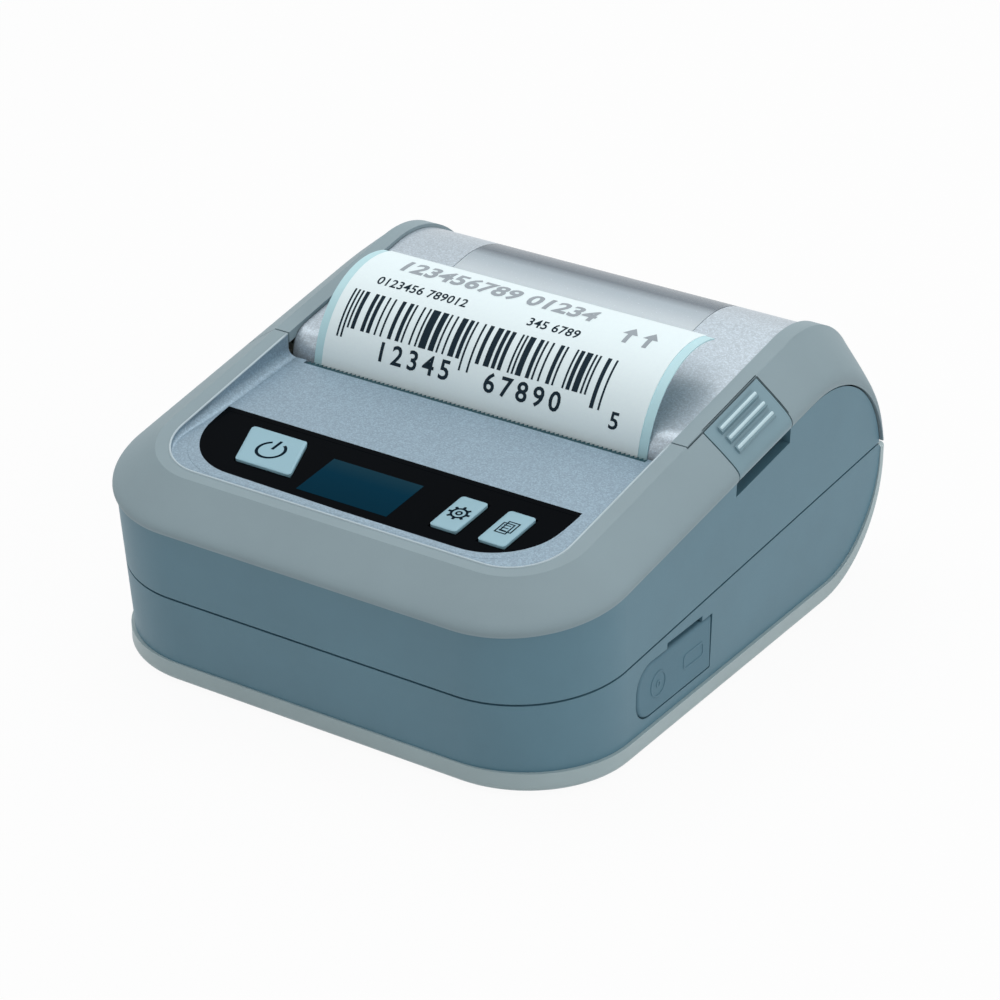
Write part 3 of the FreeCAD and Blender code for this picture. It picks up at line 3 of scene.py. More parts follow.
import bmesh
import bpy
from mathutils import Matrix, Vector


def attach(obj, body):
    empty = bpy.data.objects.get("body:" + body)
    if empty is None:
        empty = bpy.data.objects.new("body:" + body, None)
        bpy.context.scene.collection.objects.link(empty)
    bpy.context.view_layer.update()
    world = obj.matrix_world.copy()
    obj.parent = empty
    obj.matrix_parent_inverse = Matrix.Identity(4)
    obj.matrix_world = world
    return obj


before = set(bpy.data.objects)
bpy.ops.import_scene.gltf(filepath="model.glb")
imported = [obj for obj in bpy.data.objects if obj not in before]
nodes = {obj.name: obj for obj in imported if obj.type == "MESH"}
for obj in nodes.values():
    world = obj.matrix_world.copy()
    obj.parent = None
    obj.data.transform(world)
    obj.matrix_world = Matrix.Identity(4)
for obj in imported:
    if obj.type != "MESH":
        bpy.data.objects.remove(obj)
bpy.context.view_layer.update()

mm = 0.001
print("frame loaded:", len(nodes), "nodes")


# small helpers for node materials
def srgb(r, g, b):
    def lin(c):
        c = c / 255
        return c / 12.92 if c <= 0.04045 else ((c + 0.055) / 1.055) ** 2.4
    return (lin(r), lin(g), lin(b), 1.0)


def shade(colour, k):
    return (colour[0] * k, colour[1] * k, colour[2] * k, 1.0)


def shades(colour, stops):
    return [(place, shade(colour, k)) for place, k in stops]


def setInputs(node, **values):
    for name, value in values.items():
        node.inputs[name.replace("_", " ")].default_value = value
    return node


def newNode(tree, kind, **values):
    return setInputs(tree.nodes.new(kind), **values)


def startMaterial(name):
    mat = bpy.data.materials.new(name)
    mat.use_nodes = True
    tree = mat.node_tree
    return mat, tree, tree.nodes["Principled BSDF"]


def coords(tree):
    return tree.nodes.new("ShaderNodeTexCoord").outputs["Object"]


def noise(tree, place, scale, detail, rough):
    node = newNode(tree, "ShaderNodeTexNoise", Scale=scale, Detail=detail, Roughness=rough)
    tree.links.new(place, node.inputs["Vector"])
    return node.outputs["Fac"]


def ranged(tree, fac, **limits):
    node = newNode(tree, "ShaderNodeMapRange", **limits)
    tree.links.new(fac, node.inputs["Value"])
    return node.outputs["Result"]


def tinted(tree, shader, fac, stops):
    node = tree.nodes.new("ShaderNodeValToRGB")
    while len(node.color_ramp.elements) < len(stops):
        node.color_ramp.elements.new(0.5)
    for element, (place, colour) in zip(node.color_ramp.elements, stops):
        element.position = place
        element.color = colour
    tree.links.new(fac, node.inputs["Fac"])
    tree.links.new(node.outputs["Color"], shader.inputs["Base Color"])


def roughened(tree, shader, fac, low, high):
    tree.links.new(ranged(tree, fac, To_Min=low, To_Max=high), shader.inputs["Roughness"])


def bump(tree, shader, height, strength, distance):
    node = newNode(tree, "ShaderNodeBump", Strength=strength, Distance=distance)
    tree.links.new(height, node.inputs["Height"])
    tree.links.new(node.outputs["Normal"], shader.inputs["Normal"])


# in these, noise is scale, detail, roughness, and "rough" is the spread about a finish's own roughness
mould = {"drift": (45, 4, 0.6), "grain": (1.5, 0.6), "low": 0.3, "high": 0.7, "rough": (-0.06, 0.08),
         "bumpDepth": 0.00002}


def mouldedPlastic(name, colour, rough, grain=3200, depth=0.35, tone=0.05):
    mat, tree, shader = startMaterial(name)
    place = coords(tree)
    drift = noise(tree, place, *mould["drift"])          # slow drift of tone over the moulding
    tinted(tree, shader, drift, shades(colour, [(mould["low"], 1 - tone), (mould["high"], 1 + tone)]))
    fine = noise(tree, place, grain, *mould["grain"])    # spark-eroded grain
    roughened(tree, shader, fine, rough + mould["rough"][0], rough + mould["rough"][1])
    bump(tree, shader, fine, depth, mould["bumpDepth"])
    return mat


flake = {"size": 3800, "metal": 0.35, "stops": [(0.0, 0.84), (0.6, 1.0), (1.0, 1.2)], "rough": (-0.05, 0.07),
         "bump": (0.1, 0.00001)}


def flakePaint(name, colour, rough):
    mat, tree, shader = startMaterial(name)
    cells = newNode(tree, "ShaderNodeTexVoronoi", Scale=flake["size"], Randomness=1.0)
    tree.links.new(coords(tree), cells.inputs["Vector"])
    grey = tree.nodes.new("ShaderNodeSeparateColor")     # three chance values for each flake
    tree.links.new(cells.outputs["Color"], grey.inputs["Color"])
    tinted(tree, shader, grey.outputs["Red"], shades(colour, flake["stops"]))
    setInputs(shader, Metallic=flake["metal"])
    roughened(tree, shader, grey.outputs["Green"], rough + flake["rough"][0], rough + flake["rough"][1])
    bump(tree, shader, grey.outputs["Blue"], *flake["bump"])
    return mat


brushed = {"lines": (3, 0.65), "stops": [(0.25, 0.82), (0.75, 1.1)], "rough": (-0.08, 0.12),
           "bump": (0.15, 0.00001)}


def bareMetal(name, colour, rough, stretch, scale=2500):
    mat, tree, shader = startMaterial(name)
    mapping = newNode(tree, "ShaderNodeMapping", Scale=stretch)
    tree.links.new(coords(tree), mapping.inputs["Vector"])
    lines = noise(tree, mapping.outputs["Vector"], scale, *brushed["lines"])
    tinted(tree, shader, lines, shades(colour, brushed["stops"]))
    setInputs(shader, Metallic=1.0)
    roughened(tree, shader, lines, rough + brushed["rough"][0], rough + brushed["rough"][1])
    bump(tree, shader, lines, *brushed["bump"])
    return mat


pulp = {"fuzz": (5, 0.7), "low": 0.3, "high": 0.7, "rough": (-0.08, 0.1), "bumpDepth": 0.00002}


def fibre(name, colour, rough, scale, depth, tone):
    mat, tree, shader = startMaterial(name)
    fuzz = noise(tree, coords(tree), scale, *pulp["fuzz"])
    tinted(tree, shader, fuzz, shades(colour, [(pulp["low"], 1 - tone), (pulp["high"], 1 + tone)]))
    roughened(tree, shader, fuzz, rough + pulp["rough"][0], min(1.0, rough + pulp["rough"][1]))
    bump(tree, shader, fuzz, depth, pulp["bumpDepth"])
    return mat


def paint(mat, *names):
    for name in names:
        mesh = nodes[name].data
        mesh.materials.clear()
        mesh.materials.append(mat)


# finishes
caseLook = {"blue": srgb(93, 131, 147), "trim": srgb(139, 158, 165), "tray": srgb(172, 190, 193)}
panelLook = {"silver": srgb(134, 156, 171), "lidSilver": srgb(175, 187, 196), "black": srgb(3, 6, 10),
             "blackIor": 1.05}
keyLook = {"face": srgb(142, 182, 196), "ink": srgb(10, 28, 40)}
paperLook = {"label": srgb(238, 252, 255), "liner": srgb(190, 228, 235), "ink": srgb(38, 52, 62),
             "greyInk": srgb(150, 160, 168)}


def faintGloss(mat):                                     # keeps a black black in a white room
    setInputs(mat.node_tree.nodes["Principled BSDF"], IOR=panelLook["blackIor"])
    return mat


# plastics: name, colour, roughness, grain scale, grain depth, drift of tone
caseBlue = mouldedPlastic("caseBlue", caseLook["blue"], 0.48)
trimGrey = mouldedPlastic("trimGrey", caseLook["trim"], 0.58, 2600, 0.45, 0.03)
trayPale = mouldedPlastic("trayPale", caseLook["tray"], 0.4)
silver = flakePaint("silverFlake", panelLook["silver"], 0.38)
lidSilver = flakePaint("lidSilverFlake", panelLook["lidSilver"], 0.34)
blackGloss = faintGloss(mouldedPlastic("blackGloss", panelLook["black"], 0.22, 5000, 0.03, 0.1))
keyFace = mouldedPlastic("keyFace", keyLook["face"], 0.36, 4200, 0.15, 0.03)
latchBlue = mouldedPlastic("latchBlue", srgb(122, 151, 162), 0.4)
flapRubber = mouldedPlastic("flapRubber", srgb(90, 126, 142), 0.66, 2200, 0.5)
innerBlack = mouldedPlastic("innerBlack", srgb(34, 37, 40), 0.55, 2400, 0.5, 0.08)
nylon = mouldedPlastic("nylonNatural", srgb(222, 219, 205), 0.42, 1800, 0.2)
rollerRubber = mouldedPlastic("rollerRubber", srgb(30, 31, 33), 0.7, 4200, 0.4, 0.1)
footRubber = mouldedPlastic("footRubber", srgb(46, 49, 52), 0.8, 2000, 0.6, 0.08)
boardGreen = mouldedPlastic("boardGreen", srgb(22, 96, 62), 0.35, 1500, 0.2, 0.12)
chipBlack = mouldedPlastic("chipBlack", srgb(28, 29, 31), 0.5, 3000, 0.3, 0.06)
wrapGrey = mouldedPlastic("wrapGrey", srgb(58, 62, 68), 0.3, 700, 0.3, 0.08)
ceramicPale = mouldedPlastic("ceramicPale", srgb(206, 204, 194), 0.22, 1500, 0.1)
# metals: name, colour, roughness, stretch of the brushing, its scale
steel = bareMetal("steelPlain", srgb(186, 190, 194), 0.28, (0.2, 1, 1))
tearSteel = bareMetal("tearSteel", srgb(52, 84, 92), 0.4, (1, 8, 1), 1500)
motorCan = bareMetal("motorCan", srgb(150, 152, 156), 0.36, (1, 0.2, 0.2))
finAlloy = bareMetal("finAlloy", srgb(196, 198, 202), 0.38, (0.15, 1, 1))
# papers: name, colour, roughness, fuzz scale, fuzz depth, drift of tone
labelPaper = fibre("labelPaper", paperLook["label"], 0.5, 1500, 0.12, 0.015)
linerPaper = fibre("linerPaper", paperLook["liner"], 0.42, 1500, 0.1, 0.02)
coreCard = fibre("coreCard", srgb(168, 138, 104), 0.85, 700, 0.6, 0.1)


def depthAcross(tree, place, front, rear):               # 0 at the front line, 1 at the rear line
    split = tree.nodes.new("ShaderNodeSeparateXYZ")
    tree.links.new(place, split.inputs["Vector"])
    return ranged(tree, split.outputs["Y"], From_Min=front * mm, From_Max=rear * mm)


smokeTintAndPaintedLight = {
    "front": 22.0, "rear": 44.0, "clear": 0.3, "ior": 1.5,
    "grain": (4500, 1, 0.5), "rough": (0.2, 0.3), "bump": (0.05, 0.00001),
    # stops: a painted reflection as the pale middle band, painted shade as the dark band towards the rear bend
    "stops": [(0.0, srgb(206, 220, 230)), (0.4, srgb(234, 246, 252)), (0.66, srgb(190, 206, 217)),
              (0.8, srgb(84, 106, 122)), (1.0, srgb(92, 114, 130))],
}


def smokedSheet(name):
    mat, tree, shader = startMaterial(name)
    place = coords(tree)
    back = depthAcross(tree, place, smokeTintAndPaintedLight["front"], smokeTintAndPaintedLight["rear"])
    tinted(tree, shader, back, smokeTintAndPaintedLight["stops"])       # painted reflection and painted shade: a pale band across the middle, darker towards the rear bend
    fine = noise(tree, place, *smokeTintAndPaintedLight["grain"])
    roughened(tree, shader, fine, *smokeTintAndPaintedLight["rough"])
    setInputs(shader, Transmission_Weight=smokeTintAndPaintedLight["clear"], IOR=smokeTintAndPaintedLight["ior"])
    bump(tree, shader, fine, *smokeTintAndPaintedLight["bump"])
    return mat


rollEnds = {"axisY": 31.29, "axisZ": 28.6, "rings": 480, "wobble": 0.6, "stops": [(0.0, 0.86), (0.7, 1.0)],
            "fuzz": (1800, 4, 0.7), "rough": (0.5, 0.7), "bump": (0.2, 0.00002)}


def rollPaper(name, colour):
    mat, tree, shader = startMaterial(name)
    wave = newNode(tree, "ShaderNodeTexWave", Scale=rollEnds["rings"], Distortion=rollEnds["wobble"])
    wave.wave_type = "RINGS"                             # winding lines on the roll's flat ends
    wave.rings_direction = "X"
    shift = (0, -rollEnds["axisY"] * mm, -rollEnds["axisZ"] * mm)
    mapping = newNode(tree, "ShaderNodeMapping", Location=shift)
    tree.links.new(coords(tree), mapping.inputs["Vector"])
    tree.links.new(mapping.outputs["Vector"], wave.inputs["Vector"])
    tinted(tree, shader, wave.outputs["Fac"], shades(colour, rollEnds["stops"]))
    fuzz = noise(tree, mapping.outputs["Vector"], *rollEnds["fuzz"])
    roughened(tree, shader, fuzz, *rollEnds["rough"])
    bump(tree, shader, wave.outputs["Fac"], *rollEnds["bump"])
    return mat


# stops: painted sheen, the screen's dark teal made paler towards its far edge
screenLookAndPaintedSheen = {"front": -47.6, "rear": -34.4, "grain": (3000, 1, 0.5), "rough": (0.16, 0.26),
              "stops": [(0.0, srgb(0, 44, 62)), (0.6, srgb(0, 48, 68)), (1.0, srgb(24, 58, 72))]}


def tealScreen(name):
    mat, tree, shader = startMaterial(name)
    place = coords(tree)
    rise = depthAcross(tree, place, screenLookAndPaintedSheen["front"], screenLookAndPaintedSheen["rear"])
    tinted(tree, shader, rise, screenLookAndPaintedSheen["stops"])      # painted sheen: paler towards the far edge of the screen
    roughened(tree, shader, noise(tree, place, *screenLookAndPaintedSheen["grain"]), *screenLookAndPaintedSheen["rough"])
    return faintGloss(mat)


smoke = smokedSheet("smokedSheet")
windings = rollPaper("rollPaper", paperLook["label"])
screenTeal = tealScreen("screenTeal")

paint(caseBlue, "upper_case", "lower_case")
paint(trimGrey, "front_trim", "lid_trim")
paint(trayPale, "base_tray")
paint(silver, "front_panel")
paint(lidSilver, "lid_panel")
paint(blackGloss, "control_window")
paint(screenTeal, "display_module")
paint(keyFace, "power_button", "settings_button", "feed_button")
paint(latchBlue, "release_latch")
paint(flapRubber, "port_cover")
paint(innerBlack, "inner_frame", "platen_carrier", "latch_bracket")
paint(nylon, "platen_gear", "reduction_gear", "motor_pinion", "platen_bushings")
paint(rollerRubber, "platen_roller")
paint(footRubber, "feet")
paint(boardGreen, "main_board", "key_board", "port_board")
paint(chipBlack, "board_parts", "key_switches", "dc_jack")
paint(wrapGrey, "battery_pack")
paint(ceramicPale, "print_head")
paint(steel, "mech_frame", "idler_stud", "motor_shaft", "platen_shaft", "hinge_pins", "usb_port")
paint(tearSteel, "tear_bar")
paint(motorCan, "motor")
paint(finAlloy, "heat_sink")
paint(labelPaper, "label")
paint(linerPaper, "liner")
paint(coreCard, "roll_core")
paint(windings, "label_roll")
paint(smoke, "lid_window")
print("finishes set")


# camera, lights and stage
def addHolder(name, data, place, aim):
    holder = bpy.data.objects.new(name, data)
    bpy.context.scene.collection.objects.link(holder)
    holder.location = place
    holder.rotation_euler = (Vector(aim) - Vector(place)).to_track_quat("-Z", "Y").to_euler()
    return holder


view = {"place": (0.35025, -0.51997, 0.3469), "aim": (0.00009, 0.00357, 0.0231),  # metres
        "lens": 124.79, "sensor": 36, "near": 0.01}
camera = addHolder("camera", bpy.data.cameras.new("camera"), view["place"], view["aim"])
camera.data.lens = view["lens"]
camera.data.sensor_width = view["sensor"]
camera.data.clip_start = view["near"]
bpy.context.scene.camera = camera

lamps = {  # name: place, size, power, aim in metres
    "overhead": ((-0.16, 0.06, 0.90), 0.9, 4.8, (0, 0, 0)),
    "back": ((-0.12, 0.70, 0.56), 0.5, 0.8, (0, 0, 0.04)),
    "right": ((0.80, 0.05, 0.40), 0.7, 2.2, (0, 0, 0.02)),
    "front": ((-0.25, -0.85, 0.35), 0.8, 0.7, (0, 0, 0.02)),
}
for name, (place, size, power, aim) in lamps.items():
    lamp = bpy.data.lights.new(name, "AREA")
    lamp.energy = power
    lamp.size = size
    addHolder(name, lamp, place, aim)


def seenRays(tree):                                      # rays that look at the room and don't light it
    path = tree.nodes.new("ShaderNodeLightPath")
    seen = path.outputs["Is Camera Ray"]
    for kind in ("Is Glossy Ray", "Is Transmission Ray"):
        either = tree.nodes.new("ShaderNodeMath")
        either.operation = "MAXIMUM"
        tree.links.new(seen, either.inputs[0])
        tree.links.new(path.outputs[kind], either.inputs[1])
        seen = either.outputs[0]
    return seen


def mixInto(tree, share, first, second, surface):
    mix = tree.nodes.new("ShaderNodeMixShader")
    tree.links.new(share, mix.inputs["Fac"])
    tree.links.new(first.outputs[0], mix.inputs[1])
    tree.links.new(second.outputs[0], mix.inputs[2])
    tree.links.new(mix.outputs[0], surface)


studio = {"soft": (0.95, 0.98, 1.0, 1), "softLevel": 0.3, "white": (1, 1, 1, 1)}


def whiteStudio():
    world = bpy.data.worlds.new("studio")
    bpy.context.scene.world = world
    world.use_nodes = True
    tree = world.node_tree
    soft = setInputs(tree.nodes["Background"], Color=studio["soft"], Strength=studio["softLevel"])
    white = newNode(tree, "ShaderNodeBackground", Color=studio["white"], Strength=1.0)
    mixInto(tree, seenRays(tree), soft, white, tree.nodes["World Output"].inputs["Surface"])


floorLook = {"half": 3.0, "z": -0.0002, "grey": (0.82, 0.82, 0.82, 1), "rough": 0.9, "glow": 0.94}


def paleFloor():
    mesh = bpy.data.meshes.new("floor")
    r, z = floorLook["half"], floorLook["z"]
    mesh.from_pydata([(-r, -r, z), (r, -r, z), (r, r, z), (-r, r, z)], [], [(0, 1, 2, 3)])
    floor = bpy.data.objects.new("floor", mesh)
    bpy.context.scene.collection.objects.link(floor)
    mat, tree, shader = startMaterial("floorWhite")
    setInputs(shader, Base_Color=floorLook["grey"], Roughness=floorLook["rough"], Specular_IOR_Level=0.0)
    glow = newNode(tree, "ShaderNodeEmission", Color=studio["white"], Strength=1.0)
    share = tree.nodes.new("ShaderNodeMath")             # the rest of the floor keeps the shadow
    share.operation = "MULTIPLY"
    share.inputs[1].default_value = floorLook["glow"]
    tree.links.new(seenRays(tree), share.inputs[0])
    mixInto(tree, share.outputs[0], shader, glow, tree.nodes["Material Output"].inputs["Surface"])
    mesh.materials.append(mat)


whiteStudio()
paleFloor()
bpy.context.scene.view_settings.view_transform = "Standard"
print("studio ready")


# helpers for the small pieces
def makePiece(name, bm, mat, body):
    mesh = bpy.data.meshes.new(name)
    bm.normal_update()
    bm.to_mesh(mesh)
    bm.free()
    mesh.materials.append(mat)
    piece = bpy.data.objects.new(name, mesh)
    bpy.context.scene.collection.objects.link(piece)
    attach(piece, body)
    return piece


def smoothSides(piece):                                  # the flat end faces have more corners and stay flat
    for polygon in piece.data.polygons:
        polygon.use_smooth = len(polygon.vertices) == 4


def sheetFaces(bm, rows, flip=False):
    for a, b in zip(rows, rows[1:]):
        for k in range(len(a) - 1):
            if flip:
                bm.faces.new((a[k], a[k + 1], b[k + 1], b[k]))
            else:
                bm.faces.new((a[k], b[k], b[k + 1], a[k + 1]))


def ringFaces(bm, rings):
    for low, high in zip(rings, rings[1:]):
        for k in range(len(low)):
            j = (k + 1) % len(low)
            bm.faces.new((low[k], low[j], high[j], high[k]))


def onCircle(cx, cy, r, degrees):
    t = math.radians(degrees)
    return (cx + r * math.cos(t), cy + r * math.sin(t))


def mixed(a, b, share):
    return a + (b - a) * share


def roundedOutline(corners, radius, steps=6):
    points = []
    count = len(corners)
    for k in range(count):
        here = Vector(corners[k])
        before = (Vector(corners[k - 1]) - here).normalized()
        after = (Vector(corners[(k + 1) % count]) - here).normalized()
        half = before.angle(after) / 2
        reach = radius / math.tan(half)
        centre = here + (before + after).normalized() * (radius / math.sin(half))
        start = here + before * reach - centre
        end = here + after * reach - centre
        for j in range(steps + 1):
            points.append(centre + start.lerp(end, j / steps).normalized() * radius)
    return points


def dropOn(nodeName, x, y, fromZ=90):                    # point and normal of a CAD piece seen from above
    start = Vector((x, y, fromZ)) * mm
    hit, where, normal, face = nodes[nodeName].ray_cast(start, Vector((0, 0, -1)))
    return (where, normal) if hit else None


# print on the label: x across it, s along its curl from the tear bar
curl = {"foot": (-4.8726, 46.6), "lean": 12.0, "rise": 2.284, "stand": 0.45,
        "centre": (14.187, 44.8836), "radius": 19.45, "start": 168.0}


def onLabel(x, s, lift):
    lean = math.radians(curl["lean"])
    if s < curl["rise"]:
        out = curl["stand"] + lift
        y = curl["foot"][0] + s * math.sin(lean) - out * math.cos(lean)
        z = curl["foot"][1] + s * math.cos(lean) + out * math.sin(lean)
    else:
        turn = math.radians(curl["start"]) - (s - curl["rise"]) / curl["radius"]
        y = curl["centre"][0] + (curl["radius"] + lift) * math.cos(turn)
        z = curl["centre"][1] + (curl["radius"] + lift) * math.sin(turn)
    return Vector((x, y, z)) * mm


inkLook = faintGloss(mouldedPlastic("printInk", paperLook["ink"], 0.55, 1600, 0.1, 0.08))
greyInkLook = mouldedPlastic("greyInk", paperLook["greyInk"], 0.55, 1600, 0.1, 0.05)
inkFilm = {"lift": 0.02, "step": 0.6, "textLift": 0.03, "textCuts": 12}


def inkStrip(bm, x0, x1, s0, s1):
    count = max(1, int(math.ceil((s1 - s0) / inkFilm["step"])))
    rows = []
    for k in range(count + 1):
        s = mixed(s0, s1, k / count)
        rows.append([bm.verts.new(onLabel(x, s, inkFilm["lift"])) for x in (x0, x1)])
    sheetFaces(bm, rows, flip=True)


code = {"left": -35.6, "right": 28.8, "low": 9.4, "high": 18.0, "guardLow": 7.2, "fill": 0.94,
        "endRuns": 4, "middleRuns": (38, 41),
        "widths": "1111 1123 2122 1213 2221 1312 1141 3112 1231 2113 "
                  "1222 3121 2311 1132 2112 1321 1411 2131 1113 2212"}


def barCode():
    bm = bmesh.new()
    runs = [int(c) for c in code["widths"] if c != " "]
    unit = (code["right"] - code["left"]) / sum(runs)
    x = code["left"]
    first, last = code["middleRuns"]
    for k, run in enumerate(runs):
        if k % 2 == 0:                                   # bars and gaps take turns
            atEnd = k < code["endRuns"] or k >= len(runs) - code["endRuns"]
            low = code["guardLow"] if atEnd or first <= k <= last else code["low"]
            inkStrip(bm, x, x + run * unit * code["fill"], low, code["high"])
        x += run * unit
    makePiece("label_bars", bm, inkLook, "lid")


printRows = {  # words, letter height, middle, foot, letter gap, boldness, ink; plain running numbers
    "label_digits_left": ("12345", 5.6, -16.3, 4.6, 1.38, 0.1, inkLook),
    "label_digits_right": ("67890", 5.6, 10.0, 4.6, 1.38, 0.1, inkLook),
    "label_digit_last": ("5", 4.8, 31.6, 4.4, 1.0, 0.08, inkLook),
    "label_line_left": ("0123456 789012", 3.1, -21.2, 20.5, 1.05, 0.05, inkLook),
    "label_line_right": ("345 6789", 3.1, 10.6, 20.4, 1.05, 0.05, inkLook),
    "label_heading": ("123456789 01234", 6.3, -7.2, 26.2, 1.04, 0.2, greyInkLook),
}


def printRow(name, words, size, middle, foot, gap, bold, ink):
    curve = bpy.data.curves.new(name, "FONT")
    curve.body = words
    curve.size = size
    curve.align_x = "CENTER"
    curve.resolution_u = 3
    curve.offset = bold
    curve.space_character = gap
    holder = bpy.data.objects.new(name + "_flat", curve)
    bpy.context.scene.collection.objects.link(holder)
    mesh = bpy.data.meshes.new_from_object(holder)
    bpy.data.objects.remove(holder)
    bm = bmesh.new()
    bm.from_mesh(mesh)
    bpy.data.meshes.remove(mesh)
    cuts = inkFilm["textCuts"]
    for k in range(1, cuts):                             # cut across so that the strokes follow the curl
        everything = bm.verts[:] + bm.edges[:] + bm.faces[:]
        bmesh.ops.bisect_plane(bm, geom=everything, plane_co=(0, k * size / cuts, 0), plane_no=(0, 1, 0))
    for vert in bm.verts:
        vert.co = onLabel(middle + vert.co.x, foot + vert.co.y, inkFilm["textLift"])
    makePiece(name, bm, ink, "lid")


arrows = {"middles": (26.1, 30.7), "stemHalf": 0.5, "foot": 22.6, "neck": 25.4, "head": 2.4, "headHalf": 1.7,
          "steps": 4, "weld": 1e-6}


def uprightArrows():
    bm = bmesh.new()                                     # plain pair of arrows at the label's far corner
    for middle in arrows["middles"]:
        inkStrip(bm, middle - arrows["stemHalf"], middle + arrows["stemHalf"], arrows["foot"], arrows["neck"])
        rows = []
        for k in range(arrows["steps"] + 1):
            share = k / arrows["steps"]
            half = arrows["headHalf"] * (1 - share)
            s = arrows["neck"] + arrows["head"] * share
            rows.append([bm.verts.new(onLabel(middle + side * half, s, inkFilm["lift"])) for side in (-1, 1)])
        sheetFaces(bm, rows, flip=True)
    bmesh.ops.remove_doubles(bm, verts=bm.verts, dist=arrows["weld"])
    makePiece("label_arrows", bm, greyInkLook, "lid")


barCode()
for name, row in printRows.items():
    printRow(name, *row)
uprightArrows()
print("label printed")


# key signs on the panel: u across it, v back along its slope from the front seam, w above it
tilt = {"seam": (-52.655, 43.3), "angle": math.atan(0.095)}


def onPanel(u, v, w):
    a = tilt["angle"]
    y = tilt["seam"][0] + v * math.cos(a) - w * math.sin(a)
    z = tilt["seam"][1] + v * math.sin(a) + w * math.cos(a)
    return Vector((u, y, z)) * mm


inkDark = faintGloss(mouldedPlastic("keyInk", keyLook["ink"], 0.4, 3000, 0.05, 0.08))
signs = {"lift": 0.54, "arcSteps": 28}


def ringPart(bm, cu, cv, inner, outer, start=0, end=360):
    rows = []
    for k in range(signs["arcSteps"] + 1):
        t = mixed(start, end, k / signs["arcSteps"])
        rows.append([bm.verts.new(onPanel(*onCircle(cu, cv, r, t), signs["lift"])) for r in (inner, outer)])
    sheetFaces(bm, rows, flip=True)


def patch(bm, corners, w):
    bm.faces.new([bm.verts.new(onPanel(u, v, w)) for u, v in corners])


def boxPatch(bm, u0, u1, v0, v1, w):
    patch(bm, [(u0, v0), (u1, v0), (u1, v1), (u0, v1)], w)


powerIcon = {"u": -25.3, "v": 13.6, "radius": 2.9, "half": 0.33, "arc": (120, 420), "bar": (0.3, 3.6)}


def powerSign():
    u, v, r, half = (powerIcon[key] for key in ("u", "v", "radius", "half"))
    bm = bmesh.new()
    ringPart(bm, u, v, r - half, r + half, *powerIcon["arc"])
    low, high = powerIcon["bar"]
    boxPatch(bm, u - half, u + half, v + low, v + high, signs["lift"])
    makePiece("power_sign", bm, inkDark, "power_key")


settingsIcon = {"u": 20.35, "v": 12.1, "radius": 2.1, "rim": (0.62, 0.86), "hub": (0.16, 0.36), "teeth": 8,
                "tooth": ((0.8, -0.17), (1.14, -0.13), (1.14, 0.13), (0.8, 0.17))}


def settingsSign():
    u, v, r = (settingsIcon[key] for key in ("u", "v", "radius"))
    bm = bmesh.new()
    for inner, outer in (settingsIcon["rim"], settingsIcon["hub"]):
        ringPart(bm, u, v, r * inner, r * outer)
    for k in range(settingsIcon["teeth"]):
        t = 2 * math.pi * k / settingsIcon["teeth"]
        c, s = math.cos(t), math.sin(t)
        patch(bm, [(u + (c * a - s * b) * r, v + (s * a + c * b) * r) for a, b in settingsIcon["tooth"]],
              signs["lift"])
    makePiece("settings_sign", bm, inkDark, "settings_key")


feedIcon = {"u": 31.25, "v": 12.1, "unit": 1.3, "shifts": (0.0, 0.55), "sheet": (-1.3, 0.75, -1.6, 1.25),
            "line": 0.3, "stack": 0.004, "rows": (-0.9, -0.2, 0.5), "rowEnds": (-0.9, 0.3), "rowLine": 0.27}


def feedSign():
    u, v, r, line = (feedIcon[key] for key in ("u", "v", "unit", "line"))
    bm = bmesh.new()
    for shift in feedIcon["shifts"]:                     # two sheets, one behind the other
        u0, u1, v0, v1 = ((shift + m) * r for m in feedIcon["sheet"])
        for a, b, c, d in ((u0, u1, v0, v0 + line), (u0, u1, v1 - line, v1),
                           (u0, u0 + line, v0, v1), (u1 - line, u1, v0, v1)):
            boxPatch(bm, u + a, u + b, v + c, v + d, signs["lift"] + feedIcon["stack"] * shift)
    left, right = feedIcon["rowEnds"]
    for row in feedIcon["rows"]:
        low = v + row * r
        boxPatch(bm, u + left * r, u + right * r, low, low + feedIcon["rowLine"], signs["lift"])
    makePiece("feed_sign", bm, inkDark, "feed_key")


powerSign()
settingsSign()
feedSign()
print("key signs set")


# faces, caps and edges of the control panel
screenFace = {"left": -12.9, "right": 8.4, "front": 5.0, "rear": 17.6, "lift": 0.03, "cells": (8, 6)}


def displayFace():
    e = screenFace
    across, along = e["cells"]
    bm = bmesh.new()
    rows = []
    for a in range(across + 1):
        u = mixed(e["left"], e["right"], a / across)
        rows.append([bm.verts.new(onPanel(u, mixed(e["front"], e["rear"], b / along), e["lift"]))
                     for b in range(along + 1)])
    sheetFaces(bm, rows)
    makePiece("display_face", bm, screenTeal, "base")


keyShapes = {  # left, front, width, length, skew, body in panel millimetres
    "power": (-29.8, 7.8, 13.5, 11.9, -4.6, "power_key"),
    "settings": (17.3, 6.4, 6.1, 11.4, 0.0, "settings_key"),
    "feed": (28.2, 6.4, 6.1, 11.4, 0.0, "feed_key"),
}
capEdge = {"round": 1.1, "leastRound": 0.4,              # inset and lift of each ring, from the foot up
           "rings": ((-0.04, -0.4), (-0.04, 0.14), (0.02, 0.3), (0.12, 0.42), (0.3, 0.49), (0.6, 0.52))}


